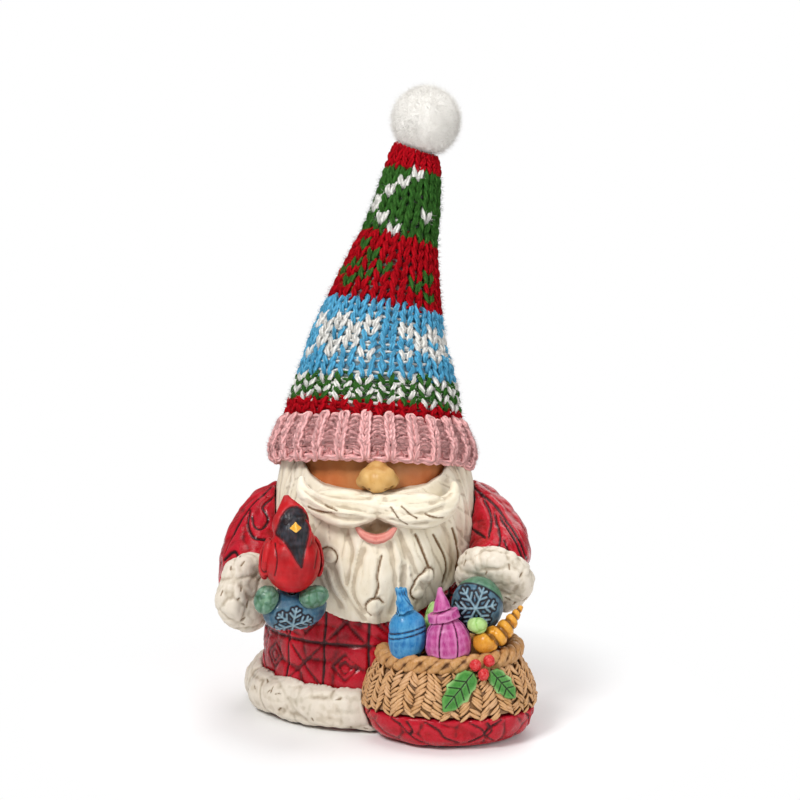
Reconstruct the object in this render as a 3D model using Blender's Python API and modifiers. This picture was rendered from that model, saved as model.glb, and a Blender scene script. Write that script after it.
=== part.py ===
"""A tomte gnome figurine: a hand-painted resin figure in a real knitted hat.

The figure is a set of castings pegged and glued to one another: robe, fur hem, head, hair, beard,
sleeves, cuffs and mittens, a bird on the right mitten, and a straw basket of baubles. The hat is a
knitted crown with a ribbed cuff and a wadding core. It pulls up off the head, and its pompom nods
on the knot that ties it to the tip.

Units in this file are millimetres, turned into Blender's metres by MM. The figure faces -Y, +X is
the viewer's right, +Z is up, and the origin is the centre of the felt pad that it stands on.
"right" and "left" in names are the figure's own, so right is at -X.
"""

import math

import bmesh
import bpy
from mathutils import Euler, Matrix, Vector

MM = 0.001
GAP = 0.3  # clearance between neighbouring pieces

# Robe and base
PLAN_DEPTH = 0.95  # depth of the figure's plan as a share of its width
ROBE_RADIUS = 33.5
ROBE_TOP = 63.0
HEM_RADIUS = 38.3
HEM_HEIGHT = 11.8
FELT_RADIUS = 31.0
FELT_THICKNESS = 1.2

# Head
HEAD_CENTRE = (0.0, 0.0, 62.0)
HEAD_RADII = (25.0, 25.0, 37.0)
HAIR_CENTRE = (0.0, 0.5, 56.0)
HAIR_RADII = (29.0, 28.0, 38.0)
HAIR_FRONT = -10.0  # the plane where the hair meets the beard
HAIR_LOW, HAIR_HIGH = 43.0, 73.0
BEARD_CENTRE = (0.0, 0.0, 48.0)
BEARD_RADII = (29.3, 35.0, 40.0)

# Basket, an ellipse in plan
BASKET_CENTRE = (20.4, -33.0)
BASKET_DEPTH = 0.75
BASKET_RADIUS = 23.0
BASKET_BASE_TOP = 8.8
BASKET_TOP = 20.8
BASKET_TILT = (2.4, 2.6)  # degrees that its mouth falls to the front and to the left
RIM_RADIUS, RIM_TUBE = 17.7, 2.0

# Hat: stations along its bent axis, each (x, y, z, outer radius)
CUFF_STATIONS = [
    (-0.8, -0.6, 69.2, 29.2),
    (-0.7, 0.2, 72.6, 29.7),
    (-0.6, 1.0, 77.0, 28.3),
    (-0.4, 1.9, 82.4, 25.9),
]
CROWN_STATIONS = [
    (-0.5, 1.6, 80.6, 26.0),
    (0.1, 2.7, 88.0, 24.4),
    (0.5, 3.5, 95.0, 22.5),
    (1.0, 4.5, 102.5, 20.3),
    (2.9, 5.9, 114.0, 16.8),
    (5.2, 7.3, 125.3, 13.6),
    (7.2, 8.4, 134.0, 11.2),
    (9.1, 9.4, 142.5, 9.8),
    (10.3, 10.2, 149.5, 8.7),
    (10.9, 10.6, 153.4, 7.9),
    (11.4, 10.6, 155.5, 6.4),
    (11.6, 10.5, 156.5, 4.0),
    (11.65, 10.45, 156.8, 1.2),
]
HAT_LIFT = (0.03, 0.2, 0.98)  # the way that the hat is drawn off
KNIT_THICKNESS = 1.6
CUFF_THICKNESS = 2.0
POMPOM_CENTRE = (14.6, 9.0, 167.0)
POMPOM_RADIUS = 10.2
TIE_RADIUS = 1.2

# Colours, linear RGB, with roughness and metallic
PAINTS = {
    "robe_red": ((0.42, 0.012, 0.018), 0.35, 0.0),
    "fur_cream": ((0.62, 0.55, 0.42), 0.6, 0.0),
    "beard_ivory": ((0.72, 0.64, 0.5), 0.5, 0.0),
    "skin": ((0.45, 0.16, 0.05), 0.45, 0.0),
    "nose_tan": ((0.5, 0.27, 0.08), 0.45, 0.0),
    "lip_pink": ((0.6, 0.16, 0.13), 0.4, 0.0),
    "mitten_blue": ((0.03, 0.16, 0.3), 0.45, 0.0),
    "mitten_green": ((0.06, 0.18, 0.09), 0.45, 0.0),
    "bird_red": ((0.5, 0.01, 0.012), 0.35, 0.0),
    "bird_black": ((0.02, 0.025, 0.03), 0.5, 0.0),
    "beak_yellow": ((0.75, 0.35, 0.03), 0.4, 0.0),
    "straw": ((0.48, 0.26, 0.1), 0.55, 0.0),
    "bauble_blue": ((0.02, 0.2, 0.45), 0.35, 0.0),
    "bauble_pink": ((0.5, 0.06, 0.28), 0.35, 0.0),
    "bauble_gold": ((0.6, 0.25, 0.02), 0.35, 0.0),
    "bauble_lime": ((0.25, 0.5, 0.12), 0.35, 0.0),
    "holly_green": ((0.1, 0.3, 0.08), 0.4, 0.0),
    "berry_red": ((0.55, 0.01, 0.01), 0.25, 0.0),
    "knit_colours": ((0.08, 0.35, 0.5), 0.9, 0.0),
    "knit_pink": ((0.7, 0.3, 0.3), 0.9, 0.0),
    "wool_white": ((0.8, 0.78, 0.74), 0.95, 0.0),
    "felt_green": ((0.03, 0.09, 0.04), 0.95, 0.0),
    "steel_pin": ((0.5, 0.5, 0.52), 0.3, 1.0),
    "bare_resin": ((0.6, 0.57, 0.5), 0.6, 0.0),
}


# ---------------------------------------------------------------- scene and materials
def clear_scene():
    for obj in list(bpy.data.objects):
        bpy.data.objects.remove(obj, do_unlink=True)


def new_collection(name):
    collection = bpy.data.collections.new(name)
    bpy.context.scene.collection.children.link(collection)
    return collection


def paint(name):
    """The painted finish of that name, made the first time that it is asked for."""
    found = bpy.data.materials.get(name)
    if found:
        return found
    colour, roughness, metallic = PAINTS[name]
    material = bpy.data.materials.new(name)
    material.use_nodes = True
    shader = material.node_tree.nodes["Principled BSDF"]
    shader.inputs["Base Color"].default_value = (*colour, 1.0)
    shader.inputs["Roughness"].default_value = roughness
    shader.inputs["Metallic"].default_value = metallic
    return material


clear_scene()
PARTS = new_collection("tomte_gnome")
CUTTERS = new_collection("cutters")


def add_object(name, data, finish=None):
    """A new object in the parts' collection, or a hidden cutter when it has no finish."""
    obj = bpy.data.objects.new(name, data)
    if finish:
        PARTS.objects.link(obj)
        obj.data.materials.append(paint(finish))
    else:
        CUTTERS.objects.link(obj)
        obj.hide_render = True
        obj.display_type = "WIRE"
    return obj


def smooth_shade(obj):
    obj.data.shade_smooth()
    obj.data.set_sharp_from_angle(angle=math.radians(40))


def settle(obj):
    """Makes the object's evaluated shape its mesh, with caps welded and no modifiers left."""
    bpy.context.view_layer.update()
    graph = bpy.context.evaluated_depsgraph_get()
    mesh = bpy.data.meshes.new_from_object(obj.evaluated_get(graph))
    bm = bmesh.new()
    bm.from_mesh(mesh)
    bmesh.ops.remove_doubles(bm, verts=bm.verts, dist=0.000001)
    bmesh.ops.triangulate(bm, faces=bm.faces)  # a grown n-gon would bend differently
    bmesh.ops.recalc_face_normals(bm, faces=bm.faces)
    if bm.calc_volume(signed=True) < 0:
        bmesh.ops.reverse_faces(bm, faces=bm.faces)
    bm.to_mesh(mesh)
    bm.free()
    if obj.type == "MESH":
        obj.modifiers.clear()
        obj.data = mesh
        smooth_shade(obj)
        return obj
    name = obj.name
    finished = bpy.data.objects.new(name + "_mesh", mesh)
    finished.matrix_world = obj.matrix_world
    for collection in obj.users_collection:
        collection.objects.link(finished)
    finished.hide_render = obj.hide_render
    finished.display_type = obj.display_type
    bpy.data.objects.remove(obj, do_unlink=True)
    finished.name = name
    smooth_shade(finished)
    return finished


# ---------------------------------------------------------------- shapes
def ellipsoid(name, finish, centre, radii, turn=(0, 0, 0), segments=16, rings=10):
    """turn is in degrees about X, Y and Z."""
    mesh = bpy.data.meshes.new(name)
    bm = bmesh.new()
    bmesh.ops.create_uvsphere(bm, u_segments=segments, v_segments=rings, radius=1.0)
    size = Matrix.Diagonal(Vector([r * MM for r in radii] + [1.0]))
    rotation = Euler([math.radians(a) for a in turn]).to_matrix().to_4x4()
    place = Matrix.Translation(Vector(centre) * MM)
    bmesh.ops.transform(bm, matrix=place @ rotation @ size, verts=bm.verts)
    bm.to_mesh(mesh)
    bm.free()
    obj = add_object(name, mesh, finish)
    smooth_shade(obj)
    return obj


def block(name, low, high):
    """A box cutter between two corners."""
    mesh = bpy.data.meshes.new(name)
    bm = bmesh.new()
    bmesh.ops.create_cube(bm, size=1.0)
    low, high = Vector(low) * MM, Vector(high) * MM
    place = Matrix.Translation((low + high) / 2) @ Matrix.Diagonal((*(high - low), 1.0))
    bmesh.ops.transform(bm, matrix=place, verts=bm.verts)
    bm.to_mesh(mesh)
    bm.free()
    return add_object(name, mesh)


def rod(name, finish, start, end, radius, sides=12, radius_end=None):
    """A round bar, or a cone when radius_end is given."""
    start, end = Vector(start) * MM, Vector(end) * MM
    tip = radius if radius_end is None else radius_end
    mesh = bpy.data.meshes.new(name)
    bm = bmesh.new()
    bmesh.ops.create_cone(bm, cap_ends=True, segments=sides, radius1=radius * MM,
                          radius2=tip * MM, depth=(end - start).length)
    aim = (end - start).to_track_quat("Z", "Y").to_matrix().to_4x4()
    bmesh.ops.transform(bm, matrix=Matrix.Translation((start + end) / 2) @ aim, verts=bm.verts)
    bm.to_mesh(mesh)
    bm.free()
    obj = add_object(name, mesh, finish)
    smooth_shade(obj)
    return obj


def turned(name, finish, profile, centre=(0.0, 0.0), plan=(1.0, 1.0), steps=32, closed=False):
    """A profile of (radius, height) points, outer side first from the top down, turned about Z.
    plan stretches the round plan along X and Y, and closed joins the profile's ends into a ring."""
    mesh = bpy.data.meshes.new(name)
    points = [(r * MM, 0.0, z * MM) for r, z in profile]
    edges = [(i, i + 1) for i in range(len(points) - 1)]
    if closed:
        edges.append((len(points) - 1, 0))
    mesh.from_pydata(points, edges, [])
    obj = add_object(name, mesh, finish)
    screw = obj.modifiers.new("turn", "SCREW")
    screw.steps = screw.render_steps = steps
    screw.use_merge_vertices = True
    screw.merge_threshold = 0.00001
    settle(obj)
    place = Matrix.Translation((centre[0] * MM, centre[1] * MM, 0.0))
    obj.data.transform(place @ Matrix.Diagonal((*plan, 1.0, 1.0)))
    return obj


def between(a, b, c, d, t):
    """The Catmull-Rom curve's value from b to c."""
    return 0.5 * (2 * b + (c - a) * t + (2 * a - 5 * b + 4 * c - d) * t * t
                  + (3 * b - a - 3 * c + d) * t ** 3)


def smooth_line(stations, steps):
    """Stations joined by a smooth curve, with that many steps to each span."""
    padded = [stations[0], *stations, stations[-1]]
    line = []
    for i in range(1, len(padded) - 2):
        for k in range(steps):
            line.append([between(*four, k / steps) for four in zip(*padded[i - 1:i + 3])])
    return line + [list(stations[-1])]


def tube(name, finish, stations, steps=3, sides=3, caps=True):
    """A round body along (x, y, z, radius) stations. sides is the curve's bevel resolution."""
    line = smooth_line(stations, steps)
    curve = bpy.data.curves.new(name, "CURVE")
    curve.dimensions = "3D"
    curve.bevel_depth = MM
    curve.bevel_resolution = sides
    curve.use_fill_caps = caps
    spline = curve.splines.new("POLY")
    spline.points.add(len(line) - 1)
    for point, (x, y, z, radius) in zip(spline.points, line):
        point.co = (x * MM, y * MM, z * MM, 1.0)
        point.radius = max(radius, 0.05)
    return settle(add_object(name, curve, finish))


def outline_plate(name, finish, outline, thickness, place):
    """A flat plate with a smooth closed outline of (x, y) points, put where the matrix says."""
    curve = bpy.data.curves.new(name, "CURVE")
    curve.dimensions = "2D"
    curve.fill_mode = "BOTH"
    curve.extrude = thickness * MM / 2
    spline = curve.splines.new("POLY")
    spline.points.add(len(outline) - 1)
    spline.use_cyclic_u = True
    for point, (x, y) in zip(spline.points, outline):
        point.co = (x * MM, y * MM, 0.0, 1.0)
    obj = settle(add_object(name, curve, finish))
    obj.data.transform(place)
    return obj


def ring(name, finish, centre, axis, radius, tube_radius, steps=20, sides=10, squash=1.0):
    """A torus round the given axis. squash flattens it along the axis."""
    bpy.ops.mesh.primitive_torus_add(major_radius=radius * MM, minor_radius=tube_radius * MM,
                                     major_segments=steps, minor_segments=sides)
    made = bpy.context.object
    obj = add_object(name, made.data, finish)
    bpy.data.objects.remove(made, do_unlink=True)
    aim = Vector(axis).to_track_quat("Z", "Y").to_matrix().to_4x4()
    flat = Matrix.Diagonal((1.0, 1.0, squash, 1.0))
    obj.data.transform(Matrix.Translation(Vector(centre) * MM) @ aim @ flat)
    smooth_shade(obj)
    return obj


# ---------------------------------------------------------------- cutting and joining
def boolean(piece, other, operation):
    modifier = piece.modifiers.new(operation.lower(), "BOOLEAN")
    modifier.operation = operation
    modifier.object = other
    modifier.use_self = True  # a bent tube or a grown copy may cross itself
    return settle(piece)


def body_volume(faces):
    """The volume inside a body's faces, as fans of triangles seen from the origin."""
    total = 0.0
    for face in faces:
        first, *rest = [vert.co for vert in face.verts]
        for a, b in zip(rest, rest[1:]):
            total += first.dot(a.cross(b)) / 6
    return abs(total)


def largest_body(piece):
    """Drops the offcuts that a cut leaves loose."""
    bm = bmesh.new()
    bm.from_mesh(piece.data)
    left, bodies = set(bm.faces), []
    while left:
        body, front = [], [left.pop()]
        while front:
            face = front.pop()
            body.append(face)
            near = {other for edge in face.edges for other in edge.link_faces} & left
            left -= near
            front.extend(near)
        bodies.append(body)
    keep = set(max(bodies, key=body_volume))
    bmesh.ops.delete(bm, geom=[f for f in bm.faces if f not in keep], context="FACES")
    bm.to_mesh(piece.data)
    bm.free()
    return piece


def apart(a, b):
    """Whether two pieces' boxes are clear of one another by more than the gap."""
    for axis in range(3):
        a_low, a_high = (pick(v.co[axis] for v in a.data.vertices) for pick in (min, max))
        b_low, b_high = (pick(v.co[axis] for v in b.data.vertices) for pick in (min, max))
        if a_low > b_high + 2 * GAP * MM or b_low > a_high + 2 * GAP * MM:
            return True
    return False


def grown(obj, by=GAP):
    """A hidden copy of a finished piece, larger all round, to cut its neighbours with."""
    cutter = add_object("grown_" + obj.name, obj.data.copy())
    bm = bmesh.new()
    bm.from_mesh(cutter.data)
    steps = [vert.normal * min(vert.calc_shell_factor(), 2.5) * by * MM for vert in bm.verts]
    for vert, step in zip(bm.verts, steps):
        vert.co += step
    bm.to_mesh(cutter.data)
    bm.free()
    return cutter


def yield_to(piece, *neighbours):
    """Cuts the piece back from neighbours that are already finished, leaving the gap."""
    for neighbour in neighbours:
        if not apart(piece, neighbour):
            boolean(piece, grown(neighbour), "DIFFERENCE")
    return largest_body(piece)


def keep_inside(piece, cutter):
    return largest_body(boolean(piece, cutter, "INTERSECT"))


def fuse(piece, *others):
    """Joins overlapping shapes of one casting into one body."""
    for other in others:
        boolean(piece, other, "UNION")
        bpy.data.objects.remove(other, do_unlink=True)
    return piece


def peg(name, finish, start, end, radius, *hosts):
    """A locating peg, with its hole in each casting that it joins."""
    made = rod(name, finish, start, end, radius, sides=10)
    axis = (Vector(end) - Vector(start)).normalized() * GAP
    hole = rod("hole_" + name, None, Vector(start) - axis, Vector(end) + axis, radius + GAP, 10)
    for host in hosts:
        largest_body(boolean(host, hole, "DIFFERENCE"))
    return made


# ---------------------------------------------------------------- robe, hem and base
def make_base():
    felt = turned("base_felt", "felt_green",
                  [(0, FELT_THICKNESS), (FELT_RADIUS, FELT_THICKNESS), (FELT_RADIUS, 0), (0, 0)],
                  plan=(1, PLAN_DEPTH))
    bottom = FELT_THICKNESS + GAP
    robe = turned("robe", "robe_red",
                  [(0, ROBE_TOP), (14, ROBE_TOP - 1), (22, 59), (27.5, 53), (30, 46), (31, 36),
                   (32, 24), (33, 12), (ROBE_RADIUS, 4), (32.5, bottom), (0, bottom)],
                  plan=(1, PLAN_DEPTH))
    inner = ROBE_RADIUS + GAP
    hem = turned("hem_fur", "fur_cream",
                 [(inner, HEM_HEIGHT), (35.6, HEM_HEIGHT - 0.6), (37.6, 9.0),
                  (HEM_RADIUS, 5.6), (37.4, 2.2), (35.8, 0.8), (inner, 0.6)],
                 plan=(1, PLAN_DEPTH), closed=True)
    return felt, robe, hem


# ---------------------------------------------------------------- head, hair and beard
def make_head(robe):
    head = ellipsoid("head", "skin", HEAD_CENTRE, HEAD_RADII, segments=24, rings=16)
    yield_to(robe, head)

    hair = ellipsoid("hair", "beard_ivory", HAIR_CENTRE, HAIR_RADII, segments=28, rings=18)
    keep_inside(hair, block("hair_limits", (-40, HAIR_FRONT, HAIR_LOW), (40, 40, HAIR_HIGH)))
    yield_to(hair, head, robe)
    return head, hair


def make_beard(robe, head):
    """The beard's front outline is cut from a bulging shell, with the face left open above it."""
    shield = [(-29.5, 76), (-29.5, 50), (-27, 41), (-22, 35.5), (-14, 32), (-6, 29.6), (1.5, 29),
              (9, 30.4), (16, 34), (22, 38.5), (26.5, 44), (29.5, 52), (29.5, 76),
              (21.2, 76), (20.3, 71.4), (18.4, 68.4), (14.4, 66.2), (5, 64.95), (-4, 64.9),
              (-13.4, 66.2), (-17.6, 68.4), (-19.4, 71.4), (-20.3, 76)]
    upright = Matrix.Rotation(math.pi / 2, 4, "X")
    depth = 30.0
    front = Matrix.Translation((0, (HAIR_FRONT - GAP - depth / 2) * MM, 0))
    prism = outline_plate("beard_outline", None, shield, depth, front @ upright)
    beard = ellipsoid("beard", "beard_ivory", BEARD_CENTRE, BEARD_RADII, segments=32, rings=22)
    keep_inside(beard, prism)
    return yield_to(beard, head, robe)


# Each half of the moustache from under the nose to its raised tip, (x, y, z, radius)
MOUSTACHE_RIGHT = [(0.8, -33.8, 61.6, 3.2), (-2.7, -34.3, 61.0, 4.1), (-8.2, -34.2, 60.8, 4.7),
                   (-13.6, -32.0, 61.8, 3.8), (-17.4, -29.2, 63.8, 2.5),
                   (-19.4, -27.0, 66.6, 1.5), (-19.2, -26.2, 68.8, 0.7)]
MOUSTACHE_LEFT = [(1.6, -33.8, 61.6, 3.2), (6.4, -34.4, 60.8, 4.4), (13.0, -32.8, 59.8, 4.7),
                  (18.0, -29.6, 60.2, 3.8), (21.2, -26.6, 62.6, 2.4),
                  (22.0, -24.6, 65.0, 1.5), (21.6, -23.8, 67.0, 0.7)]
NOSE_X = 1.2


def make_face(head, beard):
    moustaches = []
    for name, side, stations in (("moustache_right", -1, MOUSTACHE_RIGHT),
                                 ("moustache_left", 1, MOUSTACHE_LEFT)):
        half = tube(name, "beard_ivory", stations, steps=2, sides=2)
        middle = block("middle_" + name, (0, -60, 40), (side * 40, 0, 90))
        middle.data.transform(Matrix.Translation(((NOSE_X + side * GAP / 2) * MM, 0, 0)))
        boolean(half, middle, "INTERSECT")
        yield_to(half, beard, head)
        moustaches.append(half)
    nose = ellipsoid("nose", "nose_tan", (NOSE_X, -28.2, 68.8), (4.0, 6.4, 3.7), segments=14,
                     rings=9)
    bridge = ellipsoid("nose_bridge", "nose_tan", (NOSE_X - 0.2, -27.2, 70.9), (2.9, 4.6, 2.6),
                       segments=12, rings=8)
    fuse(nose, bridge)
    for side in (-1, 1):
        wing = ellipsoid("nose_wing", "nose_tan", (NOSE_X + side * 3.5, -27.8, 67.6),
                         (2.5, 4.0, 2.1), segments=10, rings=6)
        fuse(nose, wing)
    yield_to(nose, head, beard, *moustaches)
    lip = tube("lower_lip", "lip_pink",
               [(-4.7, -34.4, 57.0, 0.5), (-2.6, -35.1, 54.4, 1.2), (0.9, -35.4, 53.2, 1.5),
                (4.4, -35.1, 54.4, 1.2), (6.4, -34.4, 57.0, 0.5)], steps=2, sides=1)
    yield_to(lip, beard, *moustaches)
    return moustaches, nose, lip


# ---------------------------------------------------------------- arms
RIGHT_CUFF = {"centre": (-34.0, -26.5, 37.0), "axis": (0.78, -0.62, 0.02)}
LEFT_CUFF = {"centre": (32.8, -27.0, 41.0), "axis": (-0.32, -0.78, -0.54)}
CUFF_PROFILE = [(0, 4.3), (6.4, 4.3), (8.8, 3.7), (10.3, 2.1), (10.8, 0),
                (10.3, -2.1), (8.8, -3.7), (6.4, -4.3), (0, -4.3)]


def make_arm(side, sleeve_stations, cuff_at, taken):
    """The fur cuff is one lump across the wrist, and the sleeve ends against it."""
    cuff = turned(side + "_cuff", "fur_cream", CUFF_PROFILE, steps=20)
    aim = Vector(cuff_at["axis"]).to_track_quat("Z", "Y").to_matrix().to_4x4()
    cuff.data.transform(Matrix.Translation(Vector(cuff_at["centre"]) * MM) @ aim)
    yield_to(cuff, *taken)
    sleeve = tube(side + "_sleeve", "robe_red", sleeve_stations, steps=2, sides=4)
    yield_to(sleeve, cuff, *taken)
    return sleeve, cuff


def make_right_mitten(taken):
    """Palm up, so that the thumb and the finger tips rise on either side of the bird."""
    palm = ellipsoid("right_mitten", "mitten_blue", (-21.5, -37.5, 35.2), (11.0, 7.0, 5.6),
                     turn=(0, -4, 8))
    thumb = ellipsoid("right_mitten_thumb", "mitten_green", (-28.6, -42.6, 38.0),
                      (3.4, 3.0, 4.0), turn=(0, 14, 0), segments=12, rings=8)
    fingers = ellipsoid("right_mitten_fingers", "mitten_green", (-14.6, -41.8, 38.8),
                        (4.4, 3.2, 3.0), turn=(0, -18, 0), segments=12, rings=8)
    yield_to(palm, *taken)
    yield_to(thumb, palm, *taken)
    yield_to(fingers, palm, *taken)
    return palm, thumb, fingers


def make_left_mitten(taken):
    """Palm down over the baubles, with a green border where it leaves the cuff."""
    hand = ellipsoid("left_mitten", "mitten_blue", (27.6, -35.6, 35.6), (7.0, 7.2, 8.0),
                     turn=(28, 0, 12))
    return yield_to(hand, *taken)


# ---------------------------------------------------------------- bird
def make_bird(taken):
    body = ellipsoid("bird_body", "bird_red", (-20.8, -41.6, 48.8), (7.5, 7.6, 8.4),
                     segments=18, rings=12)
    yield_to(body, *taken)
    head = ellipsoid("bird_head", "bird_red", (-21.2, -41.4, 58.0), (5.0, 4.9, 5.0),
                     segments=14, rings=9)
    crest = rod("crest", "bird_red", (-21.6, -41.0, 59.5), (-22.4, -40.2, 67.0), 4.2, 12, 0.7)
    fuse(head, crest)
    yield_to(head, body, *taken)
    mask = ellipsoid("bird_mask", "bird_black", (-19.8, -44.9, 56.2), (4.5, 2.9, 5.6),
                     turn=(-14, 0, 8), segments=14, rings=9)
    yield_to(mask, body, head)
    beak = rod("bird_beak", "beak_yellow", (-19.4, -46.6, 57.2), (-19.0, -50.0, 56.2),
               1.8, 4, 0.3)
    yield_to(beak, mask)
    wings = []
    for name, place, turn in (("bird_wing_right", (-27.4, -41.2, 49.2), 8),
                              ("bird_wing_left", (-14.9, -38.8, 49.4), -8)):
        wing = ellipsoid(name, "bird_red", place, (2.0, 4.8, 5.6), turn=(0, turn, 0),
                         segments=12, rings=8)
        wings.append(yield_to(wing, body, head, *taken))
    return body, head, mask, beak, wings


# ---------------------------------------------------------------- basket
def basket_mouth():
    """The plane that the basket's wall ends in, as a matrix from a level plane at the origin."""
    forward, left = (math.radians(angle) for angle in BASKET_TILT)
    centre = Vector((*BASKET_CENTRE, BASKET_TOP)) * MM
    tilt = Matrix.Rotation(forward, 4, "X") @ Matrix.Rotation(-left, 4, "Y")
    return Matrix.Translation(centre) @ tilt


def make_basket(robe, hem, felt):
    plan = (1.0, BASKET_DEPTH)
    base = turned("basket_base", "robe_red",
                  [(0, BASKET_BASE_TOP), (BASKET_RADIUS, BASKET_BASE_TOP), (22.6, 6.0),
                   (21.2, 3.2), (18.8, 1.2), (16.0, 0.5), (0, 0.5)],
                  centre=BASKET_CENTRE, plan=plan)
    low = BASKET_BASE_TOP + GAP
    body = turned("basket_body", "straw",
                  [(0, BASKET_TOP + 3), (17.4, BASKET_TOP + 3), (19.8, 19.4), (22.0, 15.6),
                   (22.9, 12.0), (BASKET_RADIUS, low), (0, low)],
                  centre=BASKET_CENTRE, plan=plan)
    above = block("above_mouth", (-40, -40, 0), (40, 40, 20))
    above.data.transform(basket_mouth())
    boolean(body, above, "DIFFERENCE")
    rim = ring("basket_rim", "straw", (0, 0, 0), (0, 0, 1), RIM_RADIUS, RIM_TUBE, 28, 8)
    raised = Matrix.Translation((0, 0, (GAP + RIM_TUBE) * MM))
    rim.data.transform(basket_mouth() @ raised @ Matrix.Diagonal((*plan, 1, 1)))
    for piece in (base, body, rim):
        yield_to(piece, robe)
    yield_to(base, felt)
    yield_to(hem, base, body)
    return base, body, rim


def make_baubles(basket, taken):
    """They stand on the basket's flat top, cast in up to the rim."""
    above = block("above_basket", (-40, -40, GAP), (40, 40, 60))
    above.data.transform(basket_mouth())
    made = []

    def seat(piece):
        keep_inside(piece, above)
        yield_to(piece, *basket, *taken, *made)
        made.append(piece)
        return piece

    seat(ellipsoid("blue_bauble", "bauble_blue", (9.0, -42.0, 28.4), (5.0, 4.9, 7.6),
                   turn=(0, 6, 0)))
    seat(ellipsoid("pink_bauble", "bauble_pink", (19.6, -42.6, 27.2), (6.2, 5.7, 7.2),
                   turn=(0, -8, 0)))
    seat(rod("blue_bauble_cap", "bauble_blue", (8.5, -42.0, 34.8), (7.4, -41.6, 41.4), 2.5,
             12, 1.1))
    seat(rod("pink_bauble_collar", "bauble_pink", (18.8, -42.4, 33.2), (18.2, -42.3, 35.6), 4.3,
             14, 4.0))
    seat(rod("pink_bauble_spire", "bauble_pink", (18.2, -42.3, 35.2), (17.5, -42.0, 41.8), 2.7,
             12, 0.5))
    seat(tube("gold_icicle", "bauble_gold",
              [(27.6, -42.2, 26.4, 2.6), (29.3, -42.2, 27.4, 3.4), (33.0, -41.6, 29.2, 3.0),
               (35.4, -40.8, 31.4, 2.4), (37.1, -40.0, 33.6, 1.6), (39.2, -39.0, 36.2, 0.5)],
              steps=2, sides=2))
    seat(ellipsoid("gold_icicle_cap", "bauble_lime", (27.2, -43.6, 32.2), (2.8, 2.4, 2.2),
                   segments=10, rings=7))
    seat(ellipsoid("green_bauble", "bauble_lime", (16.6, -36.4, 30.2), (3.2, 3.2, 6.8),
                   segments=12, rings=8))
    return made


def on_basket(x, z, out):
    """A point that far outside the basket's front face, and the way the face looks there."""
    cx, cy = BASKET_CENTRE
    across = (x - cx) / BASKET_RADIUS
    y = cy - BASKET_DEPTH * BASKET_RADIUS * math.sqrt(1 - across ** 2)
    normal = Vector((across, (y - cy) / (BASKET_RADIUS * BASKET_DEPTH ** 2), 0.18)).normalized()
    lean = max(0.0, z - 14.0) * 0.42  # the basket's side draws in above its belly
    return Vector((x, y + lean, z)) + normal * out, normal


HOLLY_HALF = [(0, 0), (1.9, 0.8), (3.0, 2.8), (2.7, 4.2), (3.5, 6.6), (2.6, 7.6), (2.2, 10.0)]
HOLLY_LENGTH = 12.2


def make_holly(basket):
    outline = HOLLY_HALF + [(0, HOLLY_LENGTH)] + [(-x, y) for x, y in HOLLY_HALF[:0:-1]]
    leaves = []
    for name, x, z, lean, size in (("holly_leaf_long", 25.6, 20.8, 140, 1.0),
                                   ("holly_leaf_short", 30.2, 20.8, 220, 0.78)):
        point, normal = on_basket(x, z, 1.3)
        aim = normal.to_track_quat("Z", "Y").to_matrix().to_4x4()
        spin = Matrix.Rotation(math.radians(lean), 4, "Z")
        place = Matrix.Translation(point * MM) @ aim @ spin @ Matrix.Scale(size, 4)
        leaf = outline_plate(name, "holly_green", outline, 1.2, place)
        leaves.append(yield_to(leaf, *basket, *leaves))
    berries = []
    for i, (x, z) in enumerate([(26.1, 22.6), (29.4, 23.4), (28.0, 20.3)]):
        point, _ = on_basket(x, z, 2.2)
        berry = ellipsoid(f"holly_berry_{i + 1}", "berry_red", point, (1.6, 1.6, 1.6),
                          segments=10, rings=7)
        berries.append(yield_to(berry, *basket, *leaves, *berries))
    return leaves, berries


# ---------------------------------------------------------------- hat
def knitted_shell(name, finish, stations, thickness, steps, sides):
    """A sleeve of cloth along the stations, open where its radius doesn't close it."""
    shell = tube(name, finish, stations, steps=steps, sides=sides, caps=False)
    wall = shell.modifiers.new("wall", "SOLIDIFY")
    wall.thickness = thickness * MM
    wall.offset = -1.0
    return settle(shell)


def hat_room():
    """What the cuff's mouth passes through as the hat is drawn off."""
    x, y, z, radius = CUFF_STATIONS[0]
    mouth = Vector((x, y, z))
    way = Vector(HAT_LIFT).normalized()
    inner = radius - CUFF_THICKNESS - GAP - 0.1
    outer = radius + 3.0
    stations = [(*(mouth + way * along), outer) for along in (0.5, 6.0, 14.0)]
    return knitted_shell("hat_room", None, stations, outer - inner, 1, 9)


def above_mouth():
    """Everything over the plane that the cuff's mouth lies in."""
    cover = block("above_mouth", (-60, -60, -GAP), (60, 60, 60))
    tilt = Vector(HAT_LIFT).to_track_quat("Z", "Y").to_matrix().to_4x4()
    cover.data.transform(Matrix.Translation(Vector(CUFF_STATIONS[0][:3]) * MM) @ tilt)
    return cover


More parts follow.
